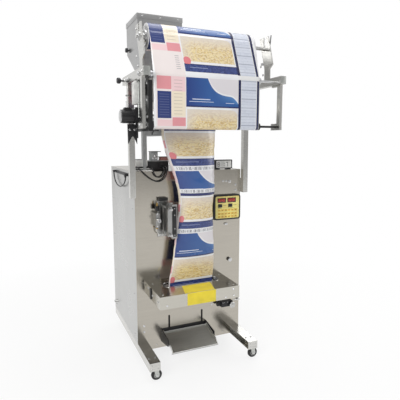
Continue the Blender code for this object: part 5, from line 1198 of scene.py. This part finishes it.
def panel_pieces():
    """The control panel's border, face, displays and keys."""
    (x0, x1), (face, _), (z0, z1) = extent("control_panel")
    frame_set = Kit("panel_frame", PLASTIC)
    outer = rounded(x0 - 0.001, x1 + 0.001, z0 - 0.001, z1 + 0.001, 0.016)
    inner = rounded(x0 + 0.0075, x1 - 0.0075, z0 + 0.0075, z1 - 0.0075, 0.01)

    def border(bm):
        loops = []
        for points, y in (
            (inner, face + 0.001), (inner, face - 0.004), (outer, face - 0.0028), (outer, face + 0.0185),
        ):
            loops.append([bm.verts.new(at(q[0], y, q[1])) for q in points])
        join_loops(bm, loops)

    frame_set.add(border).done()
    plate = Kit("panel_face", CREAM_FACE)
    plate.plate(
        rounded(x0 + 0.006, x1 - 0.006, z0 + 0.006, z1 - 0.006, 0.01), "Y", face - 0.0016, face + 0.0005,
        0.0003,
    )
    plate.done()
    f = face - 0.0016
    glass = Kit("panel_displays", [GLASS, PLASTIC, DIGITS])
    for a, b in ((0.53, 0.585), (0.6, 0.656)):
        glass.slot = 1
        glass.box((a - 0.0025, f - 0.001, 0.973), (b + 0.0025, f + 0.0002, 1.0035), 0.0004)
        glass.slot = 0
        glass.box((a, f - 0.0016, 0.9755), (b, f - 0.0002, 1.001), 0.0003)
    glass.slot = 2
    digit(glass, 0.5345, 0.9805, f - 0.0014, "0240", 0.0155)
    digit(glass, 0.605, 0.9805, f - 0.0014, "0058", 0.0155)
    glass.slot = 1
    for a, b in ((0.531, 0.56), (0.603, 0.633)):
        glass.box((a, f - 0.0014, 0.943), (b, f + 0.0002, 0.965), 0.0005)
    glass.done()
    keys = Kit("panel_keys", [KEY, PLASTIC, RED_PLASTIC])
    for row, z in enumerate((0.9185, 0.896, 0.8775)):
        for column in range(6):
            x = 0.53 + column * 0.0235
            keys.slot = 0
            keys.box((x, f - 0.0012, z), (x + 0.0185, f + 0.0002, z + 0.0125), 0.0008)
            keys.slot = 1 if (row + column) % 3 else 2
            keys.box((x + 0.004, f - 0.0015, z + 0.0045), (x + 0.0145, f - 0.0009, z + 0.007), 0.0002)
    keys.slot = 1
    for a, b, z in (
        (0.531, 0.556, 0.9365), (0.603, 0.642, 0.9365), (0.567, 0.59, 0.955), (0.64, 0.664, 0.955),
    ):
        keys.box((a, f - 0.0003, z), (b, f + 0.0002, z + 0.0016), 0.0001)
    keys.done()
    under = Kit("panel_bracket", BRIGHT)
    under.box((0.585, -0.01, 0.826), (0.607, 0.0002, 0.838), 0.001)
    under.screw((0.59, -0.01, 0.832), -Y, 0.003)
    under.screw((0.602, -0.01, 0.832), -Y, 0.003)
    under.done()


def meter_pieces():
    """The temperature meter's face, digits and feet."""
    (x0, x1), (face, _), (z0, z1) = extent("temperature_meter")
    kit = Kit("meter_face", [WHITE_PLASTIC, PLASTIC])
    kit.plate(
        rounded(x0 + 0.007, x1 - 0.008, z0 + 0.011, z1 - 0.006, 0.004), "Y", face - 0.0014, face + 0.0004,
        0.0004,
    )
    kit.slot = 1
    f = face - 0.0014
    digit(kit, 0.54, 1.201, f, "8", 0.027)
    digit(kit, 0.6, 1.201, f, "7", 0.027)
    for z in (1.206, 1.219):
        kit.box((0.584, f - 0.0005, z), (0.588, f + 0.0003, z + 0.004), 0.0002)
    for x in (0.548, 0.606):
        kit.rod((x, face + 0.005, z0 - 0.0002), (x, face + 0.005, z0 + 0.004), 0.007)
        kit.box((x - 0.009, face - 0.0015, z0), (x + 0.009, face + 0.01, z0 + 0.006), 0.001)
    kit.done()


def panel_bolts():
    """Bolts, screws and a knob on the cabinet's front and side sheets."""
    kit = Kit("front_bolts", BRIGHT)
    places = (
        (0.576, 1.11), (0.598, 1.109), (0.666, 1.084), (0.667, 1.048), (0.5, 0.301), (0.065, 0.105),
        (0.041, 0.234), (0.041, 0.196),
    )
    for x, z in places:
        kit.bolt((x, 0, z), -Y, 0.0048)
    kit.lathe(
        (0.621, 0, 1.106), -Y,
        [(0, 0.01), (0.003, 0.01), (0.004, 0.007), (0.014, 0.0065), (0.015, 0.005)], 20,
    )
    for x in (0.12, 0.235, 0.465, 0.58):
        kit.screw((x, 0, 0.098), -Y, 0.0036)
    for y in (0.06, 0.585):
        for z in (0.165, 0.43, 0.7, 0.96, 1.145):
            for x, axis in ((0.0, -X), (0.7, X)):
                if z > 1.1 and y < 0.1:
                    continue
                kit.screw((x, y, z), axis, 0.0036)
    kit.lathe(
        (0.625, -0.0143, 0.592), -Y, [(0, 0.0125), (0.0008, 0.0132), (0.0016, 0.012), (0.0016, 0.006)],
        24,
    )
    kit.done()


def chute_pieces():
    """The tray's rolled lip, the nuts of the two slots, and black plates behind the slots as painted shade."""
    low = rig.box("chute_tray")[0]
    (x0, x1), (front, _), _ = extent("chute_tray")
    lip = Kit("tray_lip", [BRIGHT, SHEET], "chute_tray")
    corners = [v.co for v in NODES["chute_tray"].data.vertices]
    low_z = min(v.z for v in corners if v.y < low.y + 0.004)
    lip.rod(
        (x0 + 0.003, front + 0.004, low_z + 0.0035), (x1 - 0.003, front + 0.004, low_z + 0.0035), 0.0038,
        16,
    )
    lip.done()
    nuts = Kit("slot_nuts", [BRIGHT, BLACK], "chute_frame")
    for x in CHUTE_SLOTS:
        nuts.bolt((x, -0.006, 0.172), -Y, 0.0055, 0.005)
    nuts.done()
    # Painted shade: black plates behind the front sheet make the two slots look dark inside.
    dark = Kit("slot_painted_shade", BLACK)
    for x in CHUTE_SLOTS:
        dark.box((x - 0.016, 0.0095, 0.16), (x + 0.016, 0.0115, 0.296), 0.0005)
    dark.done()


def regulator_pieces():
    """The pressure gauge, ports and tube of the regulator, and its knob's ribs."""
    kit = Kit("regulator_gauge", [WHITE_PLASTIC, BRIGHT, PLASTIC])
    gauge, tick_radius = 0.626 - 0.019 * 0.4, 0.0115
    z = (0.289 + 0.325) / 2 - 0.006
    kit.lathe((gauge, -0.0662, z), -Y, [(0, 0.015), (0.0004, 0.015), (0.0006, 0.014)], 28)
    kit.slot = 1
    kit.lathe(
        (gauge, -0.06, z),
        -Y,
        [
            (0, 0.0195), (0.0068, 0.0195), (0.0078, 0.0185), (0.0078, 0.0155), (0.0064, 0.015),
            (0.0064, 0.0145),
        ],
        28,
    )
    for x in (0.557, 0.568, 0.59):
        kit.screw((x, -0.05, 0.318), -Y, 0.0026)
    kit.slot = 2
    for angle in range(-120, 121, 30):
        a = math.radians(angle)
        x, y = gauge + math.sin(a) * tick_radius, z + math.cos(a) * tick_radius
        kit.box((x - 0.0005, -0.0672, y - 0.0005), (x + 0.0005, -0.0666, y + 0.0005), 0.0)
    kit.box((gauge - 0.0006, -0.0674, z - 0.001), (gauge + 0.0006, -0.0666, z + 0.0095), 0.0001)
    for i in range(4):
        kit.lathe(
            (0.5515 + i * 0.011, -0.025, 0.2885), -Z, [(0, 0.005), (0.0014, 0.005), (0.0018, 0.004)], 16,
        )
    kit.done()
    tube = Kit("regulator_tube", [WHITE_PLASTIC, BRASS])
    tube.rod((0.628, -0.025, 0.315), (0.689, -0.025, 0.315), 0.0046)
    tube.slot = 1
    tube.lathe((0.626, -0.025, 0.315), X, [(0, 0.007), (0.006, 0.007), (0.008, 0.0055)], 6)
    tube.done()
    kit = Kit("regulator_knob_ribs", PLASTIC, "regulator_knob")
    low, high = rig.box("regulator_knob")
    middle = (low + high) / 2 - SHIFT
    for i in range(18):
        a = 2 * math.pi * i / 18
        y, w = middle.y + math.cos(a) * 0.0149, middle.z + math.sin(a) * 0.0149
        kit.rod((low.x - SHIFT.x + 0.003, y, w), (low.x - SHIFT.x + 0.021, y, w), 0.0009, 6)
    kit.done()


def drive_pieces():
    """The gear motor, the guard plate's hardware and the brackets round them."""
    left = extent("feed_motor")[0][0]
    y, z = -0.2, 1.487
    shell = Kit("motor_shell", [BLACK, BRIGHT, ZINC])
    for i in range(14):
        a = math.radians(-150 + i * 22)
        c = Vector((0, math.cos(a), math.sin(a))) * 0.0342
        shell.rod((left + 0.01, y + c.y, z + c.z), (left + 0.06, y + c.y, z + c.z), 0.0011, 6)
    shell.box((left + 0.018, y - 0.018, z + 0.03), (left + 0.056, y + 0.018, z + 0.0445), 0.002)
    shell.lathe((left + 0.0665, y, z), X, [(0, 0.037), (0.006, 0.037), (0.007, 0.036)], 32)
    shell.slot = 1
    shell.lathe(
        (left + 0.0005, y, z), -X,
        [(0, 0.0325), (0.0012, 0.0325), (0.0035, 0.0285), (0.0042, 0.02), (0.0042, 0.0)], 32,
    )
    for i in range(4):
        a = math.radians(45 + 90 * i)
        shell.screw((left + 0.0005, y + math.cos(a) * 0.0305, z + math.sin(a) * 0.0305), -X, 0.003)
    for dy in (-0.033, 0.033):
        for dz in (-0.038, 0.038):
            shell.bolt((-0.048, y + dy, z + dz), -X, 0.0042, 0.004)
    shell.slot = 0
    shell.plate(
        [
            (y - 0.038, 1.4425), (y + 0.038, 1.4425), (y + 0.036, 1.376), (y + 0.004, 1.406),
            (y - 0.004, 1.406), (y - 0.036, 1.376),
        ],
        "X", -0.04, -0.034, 0.0008,
    )
    shell.plate(
        [(-0.082, 1.448), (-0.03, 1.448), (-0.032, 1.345), (-0.05, 1.385), (-0.06, 1.385), (-0.08, 1.345)],
        "Y", y - 0.006, y + 0.002, 0.0008,
    )
    shell.slot = 1
    for dx in (-0.07, -0.044):
        shell.bolt((dx, y - 0.006, 1.42), -Y, 0.004, 0.0034)
    shell.done()

    guard = Kit("guard_hardware", [BRIGHT, BLACK, WHITE_PLASTIC, ZINC])
    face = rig.box("belt_guard")[0].x - SHIFT.x
    spots = (
        (-0.343, 1.48), (-0.343, 1.56), (-0.343, 1.64), (-0.318, 1.662), (-0.262, 1.655), (-0.262, 1.6),
        (-0.3, 1.575), (-0.29, 1.52), (-0.312, 1.5), (-0.262, 1.555), (-0.178, 1.56), (-0.178, 1.64),
        (-0.225, 1.56), (-0.282, 1.462),
    )
    for by, bz in spots:
        guard.bolt((face, by, bz), -X, 0.005, 0.0045)
    for by, bz, r in (
        (-0.335, 1.44, 0.012), (-0.3, 1.455, 0.008), (-0.262, 1.48, 0.01), (-0.3, 1.61, 0.011),
    ):
        guard.lathe(
            (face, by, bz), -X,
            [(0, r), (0.006, r), (0.008, r * 0.8), (0.008, r * 0.45), (0.014, r * 0.42), (0.015, r * 0.3)],
            20,
        )
    guard.box((face - 0.01, -0.318, 1.528), (face + 0.0002, -0.262, 1.542), 0.001)
    guard.box((face - 0.012, -0.3, 1.47), (face + 0.0002, -0.276, 1.484), 0.001)
    guard.slot = 1
    guard.box((face - 0.016, -0.312, 1.585), (face + 0.0002, -0.276, 1.648), 0.0015)
    guard.rod((face - 0.014, -0.24, 1.5), (face - 0.014, -0.24, 1.64), 0.003)
    guard.slot = 2
    guard.box((face - 0.034, -0.222, 1.548), (face + 0.0002, -0.176, 1.662), 0.002)
    guard.slot = 3
    guard.rod((face - 0.018, -0.252, 1.48), (face - 0.018, -0.252, 1.66), 0.0035)
    guard.done()

    spring = Kit("tension_spring", BRIGHT)
    turns, steps = 11, 10
    line = []
    for i in range(turns * steps + 1):
        a = 2 * math.pi * i / steps
        line.append(Vector((
            -0.06 + math.cos(a) * 0.0042, -0.105 + math.sin(a) * 0.0042,
            1.5 + 0.075 * i / (turns * steps),
        )))
    for a, b in zip(line, line[1:]):
        spring.rod(a, b, 0.0009, 6, 0)
    spring.rod((-0.06, -0.105, 1.48), (-0.06, -0.105, 1.5), 0.0012, 8)
    spring.rod((-0.06, -0.105, 1.575), (-0.06, -0.105, 1.6), 0.0012, 8)
    spring.box((-0.064, -0.109, 1.598), (-0.0335, -0.101, 1.606), 0.0008)
    spring.box((-0.064, -0.109, 1.474), (-0.0335, -0.101, 1.482), 0.0008)
    spring.done()


def arm_pieces():
    """Bolts and clamp plates of both arms, and the shaft's collars."""
    kit = Kit("arm_hardware", [BRIGHT, BLACK, ZINC])
    for outer, sign in ((-0.05, -1), (0.75, 1)):
        axis = X * sign
        inner = outer - sign * 0.035
        for y in (-0.385, -0.11, -0.08, -0.045):
            kit.bolt((outer, y, 1.689), axis, 0.005, 0.0045)
        kit.bolt((outer, -0.335, 1.44), axis, 0.0065, 0.006)
        kit.lathe(
            (outer, -0.335, 1.685), axis,
            [(0, 0.013), (0.005, 0.013), (0.006, 0.011), (0.006, 0.0065), (0.012, 0.006)], 24,
        )
        kit.slot = 2
        kit.box(
            (min(outer, inner) + 0.0005, -0.4062, 1.6685), (max(outer, inner) - 0.0005, -0.403, 1.7095),
            0.0008,
        )
        kit.slot = 0
        plate = outer - sign * 0.035
        for y, z in ((-0.19, 1.925), (-0.19, 1.79), (-0.215, 1.74)):
            kit.bolt((plate + sign * 0.006, y, z), axis, 0.0045, 0.004)
        kit.lathe(
            (plate + sign * 0.006, ROLL_Y, ROLL_Z), axis,
            [(0, 0.022), (0.004, 0.022), (0.005, 0.02), (0.005, 0.014)], 28,
        )
    kit.slot = 1
    kit.rod((0.722, -0.262, 1.78), (0.722, -0.29, 1.945), 0.0028)
    kit.slot = 0
    kit.rod((0.722, -0.262, 1.712), (0.722, -0.262, 1.782), 0.0035)
    kit.box((0.716, -0.272, 1.795), (0.728, -0.196, 1.809), 0.001)
    kit.done()
    shaft = Kit("shaft_collars", [BRIGHT, CARD], "supply_roll")
    for x, sign in ((0.01, -1), (0.618, 1)):
        shaft.lathe(
            (x, ROLL_Y, ROLL_Z),
            X * sign,
            [
                (0, 0.034), (0.007, 0.034), (0.008, 0.033), (0.008, 0.016), (0.02, 0.0155),
                (0.021, 0.0145), (0.021, 0.0),
            ],
            32,
        )
        for i in range(3):
            a = math.radians(90 + 120 * i)
            shaft.screw(
                (x + sign * 0.008, ROLL_Y + math.cos(a) * 0.025, ROLL_Z + math.sin(a) * 0.025), X * sign,
                0.0032,
            )
    shaft.done()


def collar_pieces():
    """The bracket that holds the former's collar."""
    kit = Kit("collar_bracket", [BLACK, BRIGHT])
    kit.plate([(-0.11, 1.418), (-0.05, 1.418), (-0.08, 1.396)], "X", 0.084, 0.09, 0.0006)
    kit.box((0.084, -0.11, 1.416), (0.118, -0.05, 1.4215), 0.0006)
    kit.slot = 1
    kit.bolt((0.1, -0.08, 1.4215), Z, 0.004)
    kit.done()


def hopper_pieces():
    """The rim round the hopper's mouth, with its screws and a knob."""
    (x0, x1), (y0, y1), _ = extent("hopper")
    kit = Kit("hopper_trim", [HOPPER, PLASTIC, BRIGHT])
    out, bite = 0.003, 0.0002
    for a, b in (
        ((x0 - out, y0 - out), (x1 + out, y0 + bite)),
        ((x0 - out, y1 - bite), (x1 + out, y1 + out)),
        ((x0 - out, y0), (x0 + bite, y1)),
        ((x1 - bite, y0), (x1 + out, y1)),
    ):
        kit.box((*a, 2.128), (*b, 2.1588), 0.001)
    kit.slot = 1
    kit.lathe(
        (x0 + 0.0008, y0 + 0.235, 1.975), -X,
        [(0, 0.006), (0.006, 0.006), (0.008, 0.014), (0.02, 0.016), (0.024, 0.013)], 20,
    )
    kit.slot = 2
    for y in (y0 + 0.03, y0 + 0.14, y0 + 0.25):
        kit.screw((x0 - out, y, 2.143), -X, 0.0035)
    for x in (x0 + 0.03, x0 + 0.15, x1 - 0.03):
        kit.screw((x, y0 - out, 2.143), -Y, 0.0035)
    kit.done()


def top_pieces():
    """Parts on the cabinet's top: the junction box's lid and glands, and a terminal block."""
    kit = Kit("junction_parts", [GREY, BRIGHT, RED_PLASTIC, PLASTIC, WHITE_PLASTIC])
    kit.box((0.009, 0.0573, 1.24), (0.236, 0.161, 1.244), 0.0012)
    for x in (0.02, 0.226):
        for y in (0.066, 0.152):
            kit.slot = 1
            kit.screw((x, y, 1.244), Z, 0.0034)
    for x in (0.2, 0.18, 0.11, 0.028):
        kit.slot = 3
        kit.lathe(
            (x, 0.0583, 1.206), -Y,
            [(0, 0.0078), (0.006, 0.0078), (0.007, 0.0068), (0.011, 0.0062), (0.012, 0.005)], 6,
        )
    kit.slot = 2
    kit.box((0.184, 0.07, 1.244), (0.236, 0.11, 1.264), 0.0015)
    kit.slot = 0
    kit.box((0.126, 0.066, 1.244), (0.166, 0.12, 1.296), 0.0015)
    kit.slot = 3
    kit.box((0.124, 0.064, 1.296), (0.186, 0.122, 1.3), 0.001)
    kit.box((0.178, 0.068, 1.264), (0.24, 0.112, 1.2675), 0.001)
    kit.box((0.02, 0.064, 1.25), (0.07, 0.12, 1.253), 0.001)
    kit.slot = 1
    for x in (0.138, 0.158):
        kit.bolt((x, 0.066, 1.262), -Y, 0.0055, 0.004)
    kit.lathe((0.148, 0.066, 1.272), -Y, [(0, 0.007), (0.004, 0.007), (0.005, 0.0055)], 20)
    kit.slot = 4
    kit.box((0.02, 0.02, 1.1831), (0.125, 0.056, 1.19), 0.0015)
    kit.box((0.0062, 0.0548, 1.21), (0.098, 0.157, 1.25), 0.003)
    kit.box((0.01, 0.054, 1.196), (0.115, 0.0575, 1.202), 0.001)
    kit.slot = 1
    for x, y in ((0.078, 0.05), (0.5, 0.05)):
        for dx in (-0.013, 0.013):
            for dy in (-0.013, 0.013):
                kit.bolt((x + dx, y + dy, 1.1893), Z, 0.003, 0.0026)
    kit.done()


def sealer_pieces():
    """Air cylinder, fittings and springs of the vertical sealer."""
    kit = Kit("sealer_parts", [ALLOY, BRIGHT, BLACK, BRASS, WHITE_PLASTIC])
    kit.lathe(
        (0.123, -0.052, 0.9), -Y,
        [(0, 0.0115), (0.03, 0.0115), (0.032, 0.01), (0.032, 0.004), (0.052, 0.004)], 24,
    )
    kit.slot = 1
    for z in (0.862, 0.938):
        kit.bolt((0.123, -0.052, z), -Y, 0.0042)
    for x in (0.142, 0.198):
        for z in (0.799, 1.001):
            kit.bolt((x, -0.006, z), -Y, 0.004)
    for z in (0.825, 0.975):
        kit.lathe(
            (0.17, -0.16, z), -Y,
            [(0, 0.0085), (0.004, 0.0085), (0.005, 0.0075), (0.005, 0.004), (0.009, 0.004)], 6,
        )
        for i in range(9):
            kit.lathe(
                (0.17, -0.142 - i * 0.0018, z), -Y,
                [(0, 0.0072), (0.0004, 0.008), (0.0009, 0.008), (0.0012, 0.0072)], 16,
            )
    kit.slot = 2
    kit.box((0.1115, -0.0525, 0.955), (0.134, -0.03, 0.985), 0.0015)
    kit.box((0.14, -0.03, 1.0101), (0.195, -0.004, 1.028), 0.0015)
    kit.slot = 3
    kit.lathe((0.123, -0.03, 0.85), -Z, [(0, 0.0058), (0.006, 0.0058), (0.007, 0.0048)], 6)
    kit.lathe((0.207, -0.025, 0.872), -Z, [(0, 0.0058), (0.006, 0.0058), (0.007, 0.0048)], 6)
    kit.lathe((0.1225, -0.041, 0.985), Z, [(0, 0.006), (0.006, 0.006), (0.007, 0.004), (0.018, 0.004)], 6)
    kit.done()
    for body, y in (("front_seal_bar", -0.134), ("rear_seal_bar", -0.036)):
        out = -1 if body == "front_seal_bar" else 1
        bar = Kit(body + "_parts", [BLACK, BRIGHT], body)
        inside = y - out * 0.0006
        bar.box(
            (0.184, min(inside, y + out * 0.006), 0.812), (0.208, max(inside, y + out * 0.006), 0.988),
            0.0012,
        )
        bar.slot = 1
        for z in (0.822, 0.86, 0.94, 0.978):
            bar.bolt((0.196, y + out * 0.006, z), Y * out, 0.0034, 0.003, False)
        bar.done()


def base_pieces():
    """Fittings of the base rails and of the casters."""
    kit = Kit("rail_ends", [BRIGHT, PLASTIC])
    for x0, x1 in ((0.0, 0.064), (0.636, 0.7)):
        kit.slot = 0
        for x in (x0 + 0.014, x1 - 0.014):
            for z in (0.088, 0.11):
                kit.screw((x, -0.25, z), -Y, 0.003)
        for x in (x0 + 0.014, x1 - 0.014):
            kit.bolt((x, -0.19, 0.124), Z, 0.0045)
    kit.done()
    for where in CASTERS:
        wheel_low, wheel_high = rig.box("caster_wheel_" + where)
        middle = (wheel_low + wheel_high) / 2 - SHIFT
        hub = Kit("hub_" + where, [BRIGHT, ZINC], "caster_wheel_" + where)
        for sign in (-1, 1):
            start = (middle.x, middle.y + sign * (WHEEL_HALF_WIDTH - 0.001), middle.z)
            hub.lathe(
                start,
                Y * sign,
                [
                    (0, 0.0175), (0.0012, 0.0175), (0.0016, 0.0165), (0.001, 0.0155), (0.001, 0.0085),
                    (0.0022, 0.0078), (0.0022, 0.0042),
                ],
                28,
            )
        hub.done()
        fork = Kit("axle_" + where, BRIGHT, "caster_fork_" + where)
        for sign in (-1, 1):
            low_side = middle.y + sign * (WHEEL_HALF_WIDTH + 0.0015 + 0.003)
            fork.lathe(
                (middle.x, low_side, middle.z), Y * sign,
                [(0, 0.0062), (0.003, 0.0062), (0.0036, 0.0054)], 6,
            )
        fork.done()


def rear_pieces():
    """Vents and screws of the rear door, whose outer face is at plane."""
    plane = 0.6473
    kit = Kit("door_vents", [BLACK, BRIGHT], "rear_door")
    for row in range(9):
        z = 0.88 + row * 0.016
        kit.slot = 0
        kit.box((0.2, plane - 0.0002, z), (0.5, plane + 0.0022, z + 0.006), 0.0015)
    kit.slot = 1
    for x in (0.03, 0.64):
        for z in (0.15, 1.155):
            kit.screw((x, plane, z), Y, 0.0035)
    kit.done()


def make_details():
    """Every small piece, in one fixed order."""
    seal_box_pieces()
    panel_pieces()
    meter_pieces()
    panel_bolts()
    chute_pieces()
    regulator_pieces()
    drive_pieces()
    arm_pieces()
    collar_pieces()
    hopper_pieces()
    top_pieces()
    sealer_pieces()
    base_pieces()
    rear_pieces()


# CAD finishes


def finish_nodes():
    """Materials and soft edges for the CAD's own nodes."""
    for names, look in (
        ("front_panel", FRONT),
        ("seal_box", BOX),
        ("left_side_panel right_side_panel rear_door", SIDE),
        (
            "left_base_rail right_base_rail left_upright right_upright left_hanger_bar "
            "right_hanger_bar",
            TUBE,
        ),
        ("hopper hopper_gate", HOPPER),
        ("feeder_trough forming_tube", SHEET),
        ("chute_tray", TRAY),
        ("former_collar front_jaw rear_jaw roll_shaft", BRIGHT),
        ("front_seal_bar rear_seal_bar", DULL),
        ("top_guide_roller jaw_cylinder drive_pulley electrical_plate", ALLOY),
        ("draw_roller timing_belt", RUBBER),
        ("main_frame hopper_stand feeder_drive", GREY),
        ("seal_bracket", DULL),
        (" ".join("caster_fork_" + where for where in CASTERS), ZINC),
        ("belt_guard feed_motor junction_box chute_frame", BLACK),
        (
            "door_latch arm_clamp_knob control_panel power_switch air_regulator "
            "regulator_knob temperature_meter cable_bracket",
            PLASTIC,
        ),
    ):
        paint(names, look)
    for node in (
        "left_base_rail right_base_rail left_upright right_upright left_hanger_bar right_hanger_bar "
        "chute_frame chute_tray belt_guard junction_box temperature_meter cable_bracket feed_motor seal_box"
    ).split():
        soften(node, 0.0008)


bpy.context.scene.view_settings.view_transform = "Standard"
make_camera()
make_cords()
make_stage()
make_lights()
finish_nodes()
make_film()
make_details()

low, high = CAD_BOX
seen_low, seen_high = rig.bounds()
with open("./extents.json", "w") as out:
    json.dump({"cad": [list(low), list(high)], "visual": [list(seen_low), list(seen_high)]}, out)
